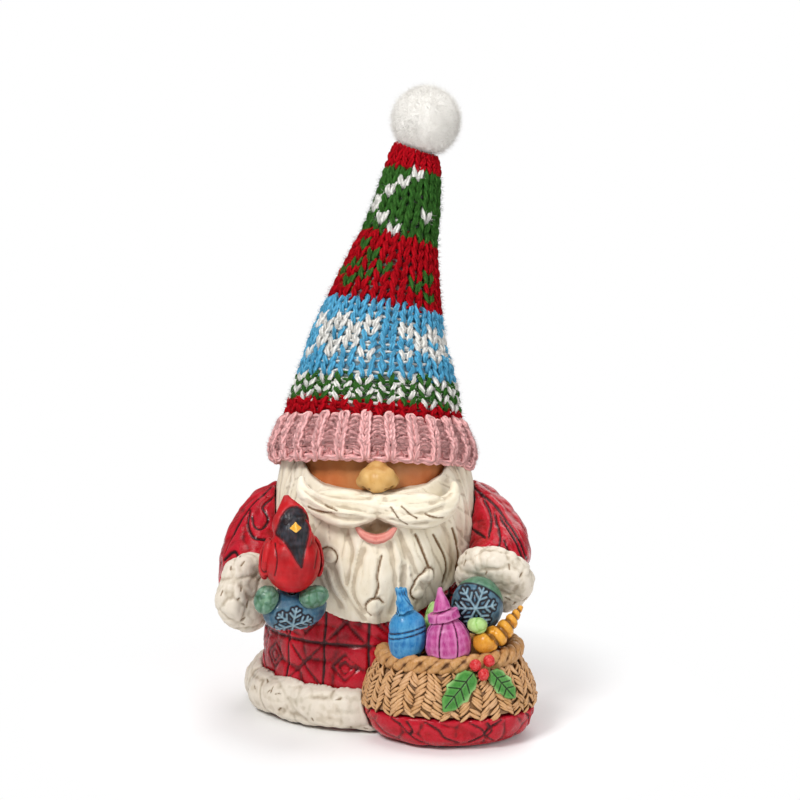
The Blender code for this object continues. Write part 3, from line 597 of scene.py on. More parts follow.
BROWN_WASH = (0.055, 0.028, 0.012)
BLACK_WASH = (0.012, 0.005, 0.006)
PLIES = 3  # fine strands in a yarn
PLY_TWIST = 1.5  # radians that a yarn's plies turn in a millimetre
PLY_TURNS = PLY_TWIST / (2 * math.pi)
M = {
    "robe": resin("robe_paint", (0.37, 0.001, 0.005), (0.14, 0.0, 0.006), (0.55, 0.015, 0.035),
                  BLACK_WASH, gloss=0.24, coat=0.1, wash_power=0.95, mottle=3.2),
    "fur": resin("fur_paint", (0.6, 0.52, 0.41), (0.44, 0.4, 0.32), (0.78, 0.71, 0.62),
                 (0.17, 0.1, 0.045), gloss=0.46, coat=0.05, wash_power=0.6, mottle=4.0),
    "beard": resin("beard_paint", (0.74, 0.67, 0.54), (0.8, 0.76, 0.64), (0.3, 0.28, 0.24),
                   (0.17, 0.085, 0.03), gloss=0.36, coat=0.06, wash_power=0.55, mottle=4.5,
                   painted=True),
    "skin": resin("skin_paint", (0.42, 0.14, 0.038), (0.75, 0.6, 0.5), (0.1, 0.06, 0.03),
                  BROWN_WASH, gloss=0.44, coat=0.05, wash_power=0.5, mottle=4.5, painted=True),
    "nose": resin("nose_paint", (0.54, 0.3, 0.085), (0.4, 0.18, 0.04), (0.66, 0.43, 0.17),
                  BROWN_WASH, gloss=0.42, coat=0.06, wash_power=0.5, mottle=3.0),
    "lip": resin("lip_paint", (0.58, 0.15, 0.12), (0.4, 0.07, 0.06), (0.75, 0.36, 0.3),
                 BROWN_WASH, gloss=0.3, coat=0.3, wash_power=0.9),
    "mitten": resin("mitten_paint", (0.035, 0.16, 0.3), (0.45, 0.5, 0.5), (0.1, 0.14, 0.14),
                    BLACK_WASH, gloss=0.38, coat=0.15, mottle=1.3, painted=True),
    "bird": resin("bird_paint", (0.5, 0.006, 0.01), (0.5, 0.35, 0.35), (0.06, 0.02, 0.02),
                  BLACK_WASH, gloss=0.4, coat=0.03, mottle=1.8, painted=True),
    "beak": resin("beak_paint", (0.78, 0.38, 0.03), (0.6, 0.22, 0.01), (0.9, 0.55, 0.12),
                  BROWN_WASH, gloss=0.25, coat=0.4),
    "straw": resin("straw_paint", (0.48, 0.25, 0.085), (0.33, 0.13, 0.025), (0.74, 0.48, 0.3),
                   (0.07, 0.022, 0.004), gloss=0.42, coat=0.05, wash_power=1.0, mottle=1.4),
    "blue": resin("bauble_blue_paint", (0.012, 0.17, 0.42), (0.006, 0.06, 0.2),
                  (0.14, 0.42, 0.62), BLACK_WASH, gloss=0.3, coat=0.1, mottle=1.5),
    "pink": resin("bauble_pink_paint", (0.42, 0.035, 0.21), (0.2, 0.008, 0.1),
                  (0.68, 0.28, 0.5), BLACK_WASH, gloss=0.32, coat=0.1, mottle=1.5),
    "gold": resin("bauble_gold_paint", (0.58, 0.22, 0.01), (0.36, 0.1, 0.004),
                  (0.78, 0.42, 0.07), BROWN_WASH, gloss=0.24, coat=0.1, mottle=1.5),
    "lime": resin("bauble_lime_paint", (0.25, 0.46, 0.1), (0.1, 0.26, 0.04), (0.5, 0.68, 0.3),
                  BLACK_WASH, gloss=0.3, coat=0.1, mottle=1.3),
    "holly": resin("holly_paint", (0.08, 0.28, 0.06), (0.5, 0.6, 0.4), (0.1, 0.16, 0.05),
                   BLACK_WASH, gloss=0.3, coat=0.1, mottle=0.9, painted=True),
    "berry": resin("berry_paint", (0.52, 0.006, 0.01), (0.3, 0.002, 0.006), (0.7, 0.1, 0.1),
                   BLACK_WASH, gloss=0.18, coat=0.1, mottle=0.9),
    "bare": resin("bare_resin_cast", (0.6, 0.57, 0.5), (0.5, 0.46, 0.4), (0.7, 0.68, 0.62),
                  BROWN_WASH, gloss=0.5, coat=0.0, wash_power=0.2),
    "felt": wool("felt_cloth", (0.02, 0.07, 0.03), (0.008, 0.03, 0.012), 0.35),
    "wadding": wool("wadding_fibre", (0.62, 0.62, 0.6), (0.36, 0.37, 0.37), 0.6),
    "pompom": wool("pompom_fibre", (0.9, 0.88, 0.84), (0.8, 0.77, 0.72), 0.8),
    "pin": black_steel("pin_steel"),
}
YARNS = {
    "red": yarn("yarn_red", (0.43, 0.002, 0.009), (0.68, 0.01, 0.02)),
    "green": yarn("yarn_green", (0.032, 0.125, 0.02), (0.13, 0.3, 0.06)),
    "blue": yarn("yarn_blue", (0.09, 0.42, 0.68), (0.36, 0.68, 0.84)),
    "white": yarn("yarn_white", (0.9, 0.88, 0.83), (0.97, 0.96, 0.93)),
    "pink": yarn("yarn_pink", (0.96, 0.5, 0.49), (0.99, 0.74, 0.72)),
}


# ---------------------------------------------------------------- robe, hem and base
def around(points, radius, centre=(0.0, 0.0), depth=1.0):
    """Flat coordinates of a turned surface: distance round it from the front, and height."""
    x = points[:, 0] - centre[0]
    y = (points[:, 1] - centre[1]) / depth
    return np.stack([np.arctan2(x, -y) * radius, points[:, 2]], axis=1)


def quilting(radius, low, cell, columns, rows):
    """Seams of a patchwork of squares, each crossed by diagonals or set with nested diamonds."""
    width = 2 * math.pi * radius / columns
    seams, fine = [], []
    for row in range(rows + 1):
        z = low + row * cell
        if row:
            seams.append([(x, z) for x in np.linspace(-math.pi * radius, math.pi * radius, 40)])
        for column in range(columns):
            x = -math.pi * radius + (column + 0.888) * width
            top = z + cell
            seams.append([(x, z), (x + 0.25, (z + top) / 2), (x, top)])
            middle = (x + width / 2, z + cell / 2)
            if (row + column) % 2:
                fine.append([(x, z), middle, (x + width, top)])
                fine.append([(x + width, z), middle, (x, top)])
            else:
                for reach in (0.3, 0.15):
                    a, b = width * reach, cell * reach
                    ring = [(middle[0] + a * sx, middle[1] + b * sz)
                            for sx, sz in ((0, 1), (1, 0), (0, -1), (-1, 0), (0, 1))]
                    fine.extend([[p, q] for p, q in zip(ring, ring[1:])])
    return seams, fine


def make_robe():
    """Padded patchwork cut into the outer face only."""
    clay = Clay([solid_of("robe")], 0.51, 24)
    clay.tuck(np.abs(clay.normal[:, 2]) > 0.5, 0.8)
    flat = around(clay.at, ROBE_RADIUS, depth=ROBE_DEPTH)
    radius = np.hypot(clay.at[:, 0], clay.at[:, 1] / ROBE_DEPTH)
    outside = smoothstep(-0.1, 0.3, np.sum(clay.normal[:, :2] * unit(clay.at[:, :2]), axis=1))
    outside = outside * (radius > 20)
    seams, fine = quilting(ROBE_RADIUS, 11.0, 12.0, 16, 3)
    clay.lumps(9.0, 0.8, seed=3, where=outside, ink=0.0)
    clay.carve(flat, fine, 0.32, 0.35, ink=0.62, where=outside)
    clay.carve(flat, seams, 0.4, 0.55, ink=0.9, where=outside)
    clay.roughen(2.2, 0.12, seed=4)
    clay.finish("robe_quilted", FIGURE, ["robe"], M["robe"])


def make_fur(node, seed, flow, voxel, size, count):
    """A fur trim carved as broad soft planes, with a few small cuts between the tufts."""
    clay = Clay([solid_of(node)], voxel, 20)
    if node == "hem_fur":
        inward = np.sum(clay.normal[:, :2] * unit(clay.at[:, :2]), axis=1) < -0.4
        clay.tuck(inward, 0.9)
    clay.lumps(size, 1.0, seed=seed, ink=0.1)
    clay.roughen(size * 0.55, 0.4, seed=seed + 3)
    clay.lumps(size * 0.38, 0.22, seed=seed + 9, ink=0.0)
    clay.nicks(count, 1.7, 0.22, 0.35, seed, flow)
    clay.roughen(1.0, 0.08, seed=seed)
    clay.finish(node + "_carved", FIGURE, [node], M["fur"])


# ---------------------------------------------------------------- head, hair and beard
# Strokes on the beard as (x, z). Locks are soft folds, and cuts are thin and dark.
BEARD_LOCKS = [
    [(-7.7, 55.3), (-5.5, 50.2), (-6.0, 45.6), (-7.0, 41.0)],
    [(7.2, 54.1), (10.0, 47.9), (11.6, 43.4)],
    [(4.5, 51.3), (5.6, 45.6), (6.1, 38.9), (5.0, 33.0)],
    [(19.3, 55.3), (21.0, 50.2), (21.2, 43.4), (18.8, 37.7)],
    [(-10.4, 45.1), (-8.8, 40.0), (-6.0, 35.5), (-2.7, 31.0)],
    [(-13.2, 43.4), (-11.5, 38.3), (-9.0, 34.5)],
    [(-2.7, 49.5), (-4.9, 43.4), (-5.2, 37.7), (-2.7, 32.6)],
    [(-16.5, 55.0), (-17.0, 49.0), (-15.5, 44.0), (-13.5, 38.5)],
    [(-21.0, 66.0), (-22.8, 58.0), (-22.8, 51.0), (-20.5, 44.0)],
    [(-24.0, 66.0), (-25.8, 58.0), (-25.6, 50.0)],
    [(23.4, 69.0), (25.4, 63.0), (26.4, 57.0), (26.0, 50.0)],
    [(20.6, 66.5), (23.0, 61.0), (24.4, 55.0), (24.6, 49.0)],
    [(8.6, 45.0), (8.2, 40.0), (8.6, 36.0)],
]
BEARD_CUTS = [
    [(11.3, 53.8), (13.0, 49.6), (14.9, 44.4)],
    [(16.1, 53.3), (18.0, 49.6), (19.5, 46.1), (20.0, 42.5), (19.1, 39.4)],
    [(21.3, 54.0), (22.6, 49.7), (23.0, 45.7), (22.5, 42.0)],
    [(2.3, 48.5), (1.2, 43.4), (1.4, 40.0), (0.5, 37.0)],
    [(16.1, 41.4), (16.1, 43.6), (14.5, 44.5), (12.8, 43.0), (11.2, 41.0), (10.1, 39.1),
     (10.0, 37.4), (10.9, 36.0)],
    [(2.6, 35.6), (1.4, 36.8), (-0.6, 36.6), (-1.9, 35.2), (-1.9, 33.4), (-0.6, 32.1)],
    [(-14.0, 49.4), (-12.2, 50.4), (-10.2, 49.6), (-9.4, 47.8), (-10.0, 46.2)],
]
BEARD_NUBS = [(0.5, 34.4, 2.3), (14.3, 41.9, 2.0), (11.9, 37.4, 1.6), (-11.6, 47.8, 1.9)]
MOUTH = [(-3.4, 56.4), (-0.8, 57.4), (1.1, 58.8), (3.2, 57.4), (5.6, 56.6), (4.0, 54.6),
         (0.9, 53.4), (-2.2, 54.6)]
MOUSTACHE_FOLDS = [
    [(-1.0, 64.4), (-6.0, 64.6), (-12.0, 65.0), (-17.0, 66.6)],
    [(-2.0, 61.0), (-7.0, 62.2), (-13.0, 62.8), (-18.0, 65.2)],
    [(-3.0, 58.6), (-8.0, 59.0), (-13.0, 60.6), (-17.0, 62.2)],
    [(3.4, 64.2), (9.0, 63.6), (15.0, 62.8), (20.5, 64.2)],
    [(3.4, 61.2), (8.0, 60.6), (13.0, 60.6), (18.0, 61.6)],
    [(5.0, 58.8), (9.5, 57.4), (14.0, 57.6)],
]
MOUSTACHE_CUTS = [
    [(4.7, 62.2), (6.6, 59.4), (9.0, 57.2)],
    [(7.6, 62.4), (9.6, 60.6), (11.6, 59.2)],
    [(14.0, 60.4), (16.4, 59.0), (18.6, 58.6)],
    [(-12.6, 62.7), (-9.4, 61.4)],
    [(-17.2, 61.4), (-14.0, 60.6), (-11.0, 60.6)],
]


def inside(flat, outline):
    """Which flat points lie within a closed outline."""
    within = np.zeros(len(flat), bool)
    for (x0, z0), (x1, z1) in zip(outline, outline[1:] + outline[:1]):
        if z0 == z1:
            continue
        crosses = (z0 > flat[:, 1]) != (z1 > flat[:, 1])
        within ^= crosses & (flat[:, 0] < x0 + (flat[:, 1] - z0) * (x1 - x0) / (z1 - z0))
    return within


CREAM = np.array([0.77, 0.69, 0.55])


def make_hair():
    """Locks fall straight from under the hat at the sides and back."""
    clay = Clay([solid_of("hair")], 0.45, 10)
    flat = around(clay.at, HAIR_RADIUS)
    clay.strands(flat[:, 0], flat[:, 1], 5.2, 0.6, seed=11, ink=0.35)
    clay.strands(flat[:, 0], flat[:, 1], 1.7, 0.16, seed=12, ink=0.12)
    clay.finish("hair_locks", FIGURE, ["hair"], M["beard"],
                CREAM * np.ones((len(clay.at), 1)))


def make_beard():
    """Broad soft locks with dark cuts, curled nubs and the open mouth."""
    clay = Clay([solid_of("beard")], 0.42, 10)
    flat = clay.face()
    front = clay.front()
    nub = np.zeros(len(clay.at))
    for x, z, size in BEARD_NUBS:
        distance = np.hypot(flat[:, 0] - x, flat[:, 1] - z)
        nub = np.maximum(nub, 1 - smoothstep(size * 0.35, size * 1.05, distance))
    clay.carve(flat, BEARD_LOCKS, 1.3, 0.6, ink=0.18, overlap=0.55, where=front)
    clay.lift(nub * 0.6 * front)
    clay.carve(flat, BEARD_CUTS, 0.3, 0.6, ink=1.0, overlap=0.4, where=front)
    quiet = front * (1 - nub)
    spread = clay.at[:, 0] / np.clip((80 - clay.at[:, 2]) / 34, 0.35, 1.3)
    clay.strands(spread, clay.at[:, 2], 4.2, 0.3, seed=21, where=quiet, ink=0.1, waver=1.8)
    clay.strands(spread, clay.at[:, 2], 1.5, 0.1, seed=22, where=quiet, ink=0.06, waver=1.2)
    clay.roughen(3.0, 0.16, seed=23)
    mouth = clay.average(inside(flat, MOUTH).astype(float), 3) * front
    clay.lift(-1.0 * mouth)
    edge = np.exp(-((mouth - 0.5) / 0.22) ** 2)
    clay.ink = np.maximum(clay.ink, 0.35 * edge)
    tan = np.array([0.3, 0.19, 0.1])
    paint = CREAM * (1 - mouth[:, None]) + tan * mouth[:, None]
    clay.finish("beard_carved", FIGURE, ["beard"], M["beard"], paint)


def make_moustache():
    """The two halves read as one casting, swept out from the nose to raised tips."""
    fill = [egg((1.2, -33.8, 62.4), (4.2, 3.4, 2.6)), egg((-9.0, -32.6, 63.6), (7.5, 3.6, 2.6)),
            egg((11.5, -32.0, 62.6), (7.5, 3.6, 2.6))]
    clay = Clay([solid_of("moustache_right"), solid_of("moustache_left"), *fill], 0.34, 12)
    flat, front = clay.face(), clay.front()
    clay.carve(flat, MOUSTACHE_FOLDS, 0.9, 0.45, ink=0.2, overlap=0.4, where=front)
    clay.carve(flat, MOUSTACHE_CUTS, 0.26, 0.5, ink=1.0, overlap=0.3, where=front)
    clay.strands(clay.at[:, 2] - 0.05 * clay.at[:, 0], clay.at[:, 0], 1.6, 0.16, seed=31,
                 ink=0.1, waver=1.1)
    clay.roughen(2.6, 0.14, seed=32)
    clay.finish("moustache_swept", FIGURE, ["moustache_right", "moustache_left"], M["beard"],
                CREAM * np.ones((len(clay.at), 1)))


def make_face():
    """Tan skin with a warmer blush by the nose, and bare cast above where the hat hides it."""
    clay = Clay([solid_of("head")], 0.7, 10)
    x, z = clay.at[:, 0], clay.at[:, 2]
    blush = np.exp(-((np.abs(x - 1) - 13) / 7) ** 2 - ((z - 67) / 4) ** 2)
    skin = np.array([0.5, 0.22, 0.07]) * np.ones((len(x), 1))
    skin = skin + blush[:, None] * np.array([0.07, -0.05, -0.02])
    bare = smoothstep(84, 88, z + noise(clay.at, 3.0, 2))[:, None]
    clay.finish("head_painted", FIGURE, ["head"], M["skin"],
                skin * (1 - bare) + bare * np.array([0.6, 0.57, 0.5]))


def make_nose_and_lip():
    """The nose widens softly into the cheeks. The lip is plain."""
    slopes = [egg((1.2 + side * 2.2, -29.6, 68.8), (2.9, 4.6, 3.0), turn=(0, side * 38, 0))
              for side in (-1, 1)]
    under = egg((1.2, -31.2, 67.3), (3.6, 3.6, 2.6))
    clay = Clay([solid_of("nose"), *slopes, under], 0.3, 60)
    nostrils = [[(-2.8, 66.5), (-1.9, 65.9), (-1.0, 66.0)],
                [(5.2, 66.5), (4.3, 65.9), (3.4, 66.0)]]
    clay.carve(clay.face(), nostrils, 0.4, 0.35, ink=0.6, where=clay.front())
    clay.roughen(2.4, 0.2, seed=41)
    clay.finish("nose_painted", FIGURE, ["nose"], M["nose"])

    clay = Clay([solid_of("lower_lip")], 0.25, 4)
    clay.finish("lip_painted", FIGURE, ["lower_lip"], M["lip"])


# ---------------------------------------------------------------- arms
RIGHT_SCROLLS = [
    [(-28.9, 59.8), (-31.6, 57.2), (-30.6, 55.4), (-30.0, 53.6), (-31.6, 51.8), (-33.8, 52.6),
     (-34.6, 54.6)],
    [(-35.2, 56.2), (-35.4, 52.8), (-33.6, 50.0), (-30.4, 49.2)],
    [(-41.6, 44.2), (-38.4, 46.6), (-36.0, 44.4), (-32.6, 44.8)],
    [(-30.0, 62.0), (-35.6, 56.6), (-39.4, 50.6), (-41.4, 45.6)],
    [(-38.6, 40.6), (-37.6, 36.0), (-40.0, 32.0)],
]
LEFT_SCROLLS = [
    [(31.2, 58.9), (32.8, 55.0), (31.6, 51.4)],
    [(34.0, 55.4), (34.6, 50.8), (32.6, 47.6), (28.0, 46.9)],
    [(27.8, 51.8), (30.4, 51.0)],
    [(28.6, 61.8), (35.0, 56.8), (39.6, 50.6), (42.4, 44.6)],
    [(35.4, 55.2), (38.6, 50.2), (41.2, 45.0)],
    [(35.6, 50.4), (36.8, 47.4)],
    [(38.0, 43.0), (39.0, 38.0), (36.6, 34.0)],
]


def make_sleeve(node, strokes, seed):
    """Long scrolls are cut through the paint, and carry on round the back of the arm."""
    clay = Clay([solid_of(node)], 0.42, 30)
    flat = clay.face()
    clay.lumps(9.0, 0.6, seed=seed, ink=0.0)
    clay.carve(flat, strokes, 0.36, 0.45, ink=0.9, overlap=0.35)
    clay.roughen(2.4, 0.16, seed=seed)
    clay.finish(node + "_scrolled", FIGURE, [node], M["robe"])


def snowflake(x, z, size, turn):
    """A six-armed flake of plain bars with two pairs of barbs on each arm."""
    strokes = []
    for k in range(6):
        a = math.radians(60 * k + turn)
        c, s = math.cos(a), math.sin(a)
        strokes.append([(x, z), (x + c * size, z + s * size)])
        for at in (0.45, 0.75):
            for bend in (-50, 50):
                b = a + math.radians(bend)
                p = (x + c * size * at, z + s * size * at)
                reach = size * (0.36 if at < 0.6 else 0.26)
                strokes.append([p, (p[0] + math.cos(b) * reach, p[1] + math.sin(b) * reach)])
    return strokes


def flake_paint(clay, strokes, base, where):
    """A pale line down the middle of each stroke with the dark wash either side of it."""
    distance, _ = clay.near(clay.face(), strokes)
    line = (1 - smoothstep(0.1, 0.3, distance)) * where
    edge = np.exp(-((distance - 0.55) / 0.26) ** 2) * where
    clay.ink = np.maximum(clay.ink, 0.9 * edge)
    clay.lift(0.22 * line - 0.3 * edge)
    return base * (1 - line[:, None]) + line[:, None] * np.array([0.22, 0.33, 0.4])


MITTEN_BLUE = np.array([0.013, 0.074, 0.14])
MITTEN_GREEN = np.array([0.042, 0.12, 0.058])


def uneven(colour, clay, amount, size, seed):
    """A colour per point, lighter and darker by that amount in patches of that size."""
    return colour * (1 + amount * noise(clay.at, size, seed))[:, None]


def make_right_mitten():
    """The palm holds the bird. Its ends are drawn in, so that it fits inside its fur cuff."""
    clay = Clay([solid_of("right_mitten")], 0.3, 6)
    x = clay.at[:, 0]
    clay.at[:, 0] -= 0.45 * np.minimum(0, x + 25) + 0.28 * np.maximum(0, x + 16)
    clay.find_normals()
    base = uneven(MITTEN_BLUE, clay, 0.25, 2.5, 51)
    flake = snowflake(-20.6, 32.0, 4.8, 18)
    paint = flake_paint(clay, flake, base, clay.front())
    clay.finish("right_mitten_painted", FIGURE, ["right_mitten"], M["mitten"],
                paint)
    for node, seed, shift in (("right_mitten_thumb", 52, (1.1, -0.2, 0.6)),
                              ("right_mitten_fingers", 53, (-0.9, 0.0, 0.4))):
        clay = Clay([solid_of(node)], 0.26, 5)
        clay.at = clay.at + shift
        clay.lumps(2.4, 0.3, seed=seed, ink=0.25)
        dapple = 0.4 * smoothstep(0.1, 0.7, noise(clay.at, 0.8, seed))[:, None]
        paint = MITTEN_GREEN * (1.2 + 0.5 * noise(clay.at, 1.6, seed))[:, None]
        paint = paint * (1 - dapple) + dapple * np.array([0.3, 0.45, 0.3])
        clay.finish(node + "_painted", FIGURE, [node], M["mitten"], paint)


def make_left_mitten():
    """The back of the hand, with a green border towards the arm."""
    clay = Clay([solid_of("left_mitten")], 0.3, 6)
    toward = clay.at @ unit(np.array([0.32, 0.5, 0.62]))
    beyond = toward - np.percentile(toward, 64)
    border = smoothstep(0.0, 0.5, beyond)
    base = uneven(MITTEN_BLUE, clay, 0.25, 2.5, 54)
    flake = snowflake(26.8, 36.4, 5.4, 6)
    paint = flake_paint(clay, flake, base, clay.front() * (1 - border))
    paint = paint * (1 - border[:, None]) + border[:, None] * MITTEN_GREEN * 1.4
    clay.ink = np.maximum(clay.ink, 0.8 * np.exp(-(beyond / 0.45) ** 2))
    clay.finish("left_mitten_painted", FIGURE, ["left_mitten"], M["mitten"], paint)


# ---------------------------------------------------------------- bird
BIRD_FACE = [(-22.3, 62.7), (-20.9, 63.4), (-19.2, 63.4), (-17.8, 62.5), (-16.6, 60.5),
             (-15.8, 57.8), (-16.1, 55.6), (-17.1, 51.8), (-17.7, 48.0), (-19.1, 49.9),
             (-20.7, 52.7), (-22.7, 54.9), (-25.2, 56.2), (-24.5, 58.0), (-23.6, 60.8)]
BIRD_CLOAK = [[(-14.8, 55.6), (-14.0, 52.4), (-14.6, 47.6)],
              [(-25.0, 54.0), (-24.3, 50.0), (-25.0, 46.0)]]
BIRD_EYES = [(-22.2, 59.8), (-17.9, 60.4)]
BIRD_RED = np.array([0.46, 0.004, 0.008])
BIRD_SLATE = np.array([0.014, 0.02, 0.027])


def make_bird():
    """Body, head, crest and mask are one casting, with the black face running down to a bib."""
    crest = horn([(-20.8, -41.4, 59.0, 4.6), (-21.0, -41.2, 61.6, 3.8), (-21.4, -40.8, 64.0, 2.2),
                  (-21.7, -40.4, 65.8, 0.8)])
    neck = egg((-20.4, -41.8, 54.0), (5.6, 5.0, 4.4))
    parts = ["bird_body", "bird_head", "bird_mask"]
    clay = Clay([*(solid_of(part) for part in parts), neck, crest], 0.28, 12)
    clay.at[:, 2] -= 0.22 * np.maximum(0, clay.at[:, 2] - 61.5)
    clay.find_normals()
    flat = clay.face()
    facing = (clay.normal[:, 1] < -0.12).astype(float)
    mask = clay.average(inside(flat, BIRD_FACE) * facing, 2)
    edge = np.exp(-((mask - 0.5) / 0.3) ** 2)
    clay.ink = np.maximum(clay.ink, 0.8 * edge)
    height = clay.at[:, 2]
    clay.lift(-0.5 * mask - 0.15 * edge)
    clay.carve(flat, BIRD_CLOAK, 0.3, 0.3, ink=0.6, where=clay.front())
    clay.strands(clay.at[:, 0], height, 1.0, 0.12, seed=61, where=mask, ink=0.0)
    for x, z in BIRD_EYES:
        distance = np.hypot(clay.at[:, 0] - x, height - z)
        clay.lift(0.3 * (1 - smoothstep(0.3, 0.9, distance)) * facing)
        clay.ink = np.maximum(clay.ink, (distance < 0.8) * facing)
    red = uneven(BIRD_RED, clay, 0.25, 3.0, 62)
    slate = uneven(BIRD_SLATE, clay, 0.9, 0.8, 63)
    paint = red * (1 - mask[:, None]) + slate * mask[:, None]
    clay.finish("bird_painted", FIGURE, parts, M["bird"], np.clip(paint, 0, 1))


def make_wings_and_beak():
    """Plumes are cut down the wings. The beak is widened a little and set up in the face."""
    lobe = egg((-27.0, -43.2, 49.8), (1.9, 2.4, 4.9), turn=(0, 6, 0))
    for node, lobes in (("bird_wing_right", [lobe]), ("bird_wing_left", [])):
        clay = Clay([solid_of(node), *lobes], 0.28, 8)
        _, y, z = clay.at.mean(axis=0)
        plumes = [[(y + fan, z + 3.5), (y + fan * 1.6 - 0.6, z - 5)]
                  for fan in (-2.2, -0.7, 0.8, 2.3)]
        clay.carve(clay.at[:, 1:], plumes, 0.35, 0.25, ink=0.6, overlap=0.2)
        clay.roughen(1.6, 0.15, seed=64)
        clay.finish(node + "_painted", FIGURE, [node], M["bird"],
                    BIRD_RED * np.ones((len(clay.at), 1)))
    clay = Clay([solid_of("bird_beak")], 0.16, 2)
    middle = clay.at.mean(axis=0)
    clay.at = middle + [-0.2, 0.0, 1.6] + (clay.at - middle) * [1.3, 1.1, 0.95]
    clay.find_normals()
    clay.finish("bird_beak_painted", FIGURE, ["bird_beak"], M["beak"])


# ---------------------------------------------------------------- basket
BASKET_PROFILE = [
    # z, radius
    (8.8, 22.8),
    (12.0, 22.7),
    (15.6, 21.8),
    (17.6, 20.9),
    (19.4, 19.7),
    (21.4, 18.5),
    (23.8, 17.3),
]
# How far from the robe's axis the basket's rope, its straws and the rope's middle must stay
ROBE_CLEAR = 32.3
WEAVE_CLEAR = 32.6
ROPE_CLEAR = 33.4
SWEEPS = [
    # place round the foot where a leaf starts, and the way it sweeps
    (-35.0, 1),
    (-24.0, -1),
    (-15.0, 1),
    (-6.0, 1),
    (4.0, 1),
    (12.0, -1),
    (21.0, 1),
    (33.0, -1),
    (44.0, 1),
]


def basket_radius(z):
    """How wide the wall is at that height."""
    heights, radii = zip(*BASKET_PROFILE)
    return np.interp(z, heights, radii)


def basket_mouth(turn, radius, raised):
    """Points round the tilted plane that the basket's wall ends in, turn from the front."""
    forward, left = (math.radians(angle) for angle in BASKET_TILT)
    x = np.sin(turn) * radius
    y = -np.cos(turn) * radius * BASKET_DEPTH
    z = BASKET_TOP + raised + x * math.tan(left) + y * math.tan(forward)
    return np.stack([BASKET_CENTRE[0] + x, BASKET_CENTRE[1] + y, z], axis=-1)


def outside_robe(points, radius=ROBE_CLEAR):
    """The same points, pushed out of the robe that the basket is cast against."""
    plan = points[..., :2] / [1, ROBE_DEPTH]
    reach = np.linalg.norm(plan, axis=-1, keepdims=True)
    pushed = points.copy()
    pushed[..., :2] = np.where(reach < radius, plan / reach * radius * [1, ROBE_DEPTH],
                               points[..., :2])
    return pushed


def make_weave():
    """Straw in upright braids of short plump strands that meet in a V, laid by an uneven hand."""
    rng = np.random.default_rng(72)
    braids, gap, steps = 28, 0.98, 9
    t = np.linspace(0, 1, steps)
    paths, outs = [], []
    for braid in range(braids):
        middle = 2 * math.pi * (braid + 0.5) / braids
        half = math.pi / braids
        slope = rng.uniform(1.8, 2.8) * rng.choice([1, 1, -1])
        for side in (-1, 1):
            for z0 in np.arange(6.2, 25.5, gap):
                start = z0 + (0.45 if side > 0 else 0.0) + rng.normal(0, 0.18)
                lean = slope * rng.uniform(0.7, 1.25)
                wander = 0.25 * math.sin(z0 * 0.45 + braid * 1.7)
                angle = middle + half * wander + side * half * rng.uniform(1.0, 1.25) * t
                z = start + lean * t
                r = basket_radius(z) + 0.32 * np.sin(math.pi * t) - 0.1 + rng.normal(0, 0.1)
                path = np.stack([BASKET_CENTRE[0] + np.sin(angle) * r,
                                 BASKET_CENTRE[1] - np.cos(angle) * r * BASKET_DEPTH, z], axis=1)
                top = basket_mouth(angle, r, 1.1)[:, 2]
                if z.min() < 8.3 or np.any(z > top):
                    continue
                paths.append(path)
                outs.append(np.stack([np.sin(angle), -np.cos(angle), 0.2 + 0 * angle], axis=1))
    paths = np.array(paths)
    keep = np.hypot(paths[:, :, 0], paths[:, :, 1] / ROBE_DEPTH).min(axis=1) > WEAVE_CLEAR
    swell = 0.2 + 0.36 * np.sin(math.pi * t) ** 0.7
    radii = swell * rng.uniform(0.8, 1.15, (len(paths), 1))
    return paths[keep], radii[keep], np.array(outs)[keep]


def make_basket_wall():
    """Separate straws over a core darkened all over as painted shade."""
    clay = Clay([solid_of("basket_body")], 0.45, 4)
    clay.lift(np.full(len(clay.at), -0.3))
    # Painted shade: the whole core is inked dark, to stand for the shade between the straws.
    clay.ink[:] = 0.6
    clay.finish("basket_core", FIGURE, ["basket_body"], M["straw"])
    paths, radii, outs = make_weave()
    points, faces, _, angle = tubes(paths, radii, 8, outs)
    weave = make_object("basket_weave", points, faces, FIGURE, (), M["straw"])
    # Painted shade down the flanks of each straw that turn away from the outside, and a painted
    # highlight along its outer crown, through the hollow and ink values.
    facing = np.cos(angle)
    tone = np.repeat(noise(paths.mean(axis=1), 1.3, 73), len(facing) // len(paths))
    set_values(weave.data, "hollow", np.clip(0.3 - 0.75 * facing + 0.2 * tone, -1, 1))
    set_values(weave.data, "ink", np.clip(1.0 - 1.1 * facing + 0.2 * tone, 0, 1))


def make_basket_foot():
    """Cut all round with sweeping leaves."""
    clay = Clay([solid_of("basket_base")], 0.42, 10)
    flat = around(clay.at, BASKET_FOOT_RADIUS, BASKET_CENTRE, BASKET_DEPTH)
    side = 1 - smoothstep(0.75, 0.95, np.abs(clay.normal[:, 2]))
    leaves = [[(x, 8.2), (x + way * 3.0, 6.4), (x + way * 4.4, 4.2), (x + way * 7.4, 2.4)]
              for x, way in SWEEPS]
    leaves += [[(x + way * 4.4, 7.8), (x + way * 5.6, 5.8), (x + way * 5.0, 4.4)]
               for x, way in SWEEPS[::2]]
    clay.lumps(7.0, 0.9, seed=71, ink=0.0, where=side)
    clay.carve(flat, leaves, 0.32, 0.4, ink=0.8, overlap=0.4, where=side)
    clay.finish("basket_base_carved", FIGURE, ["basket_base"], M["robe"])


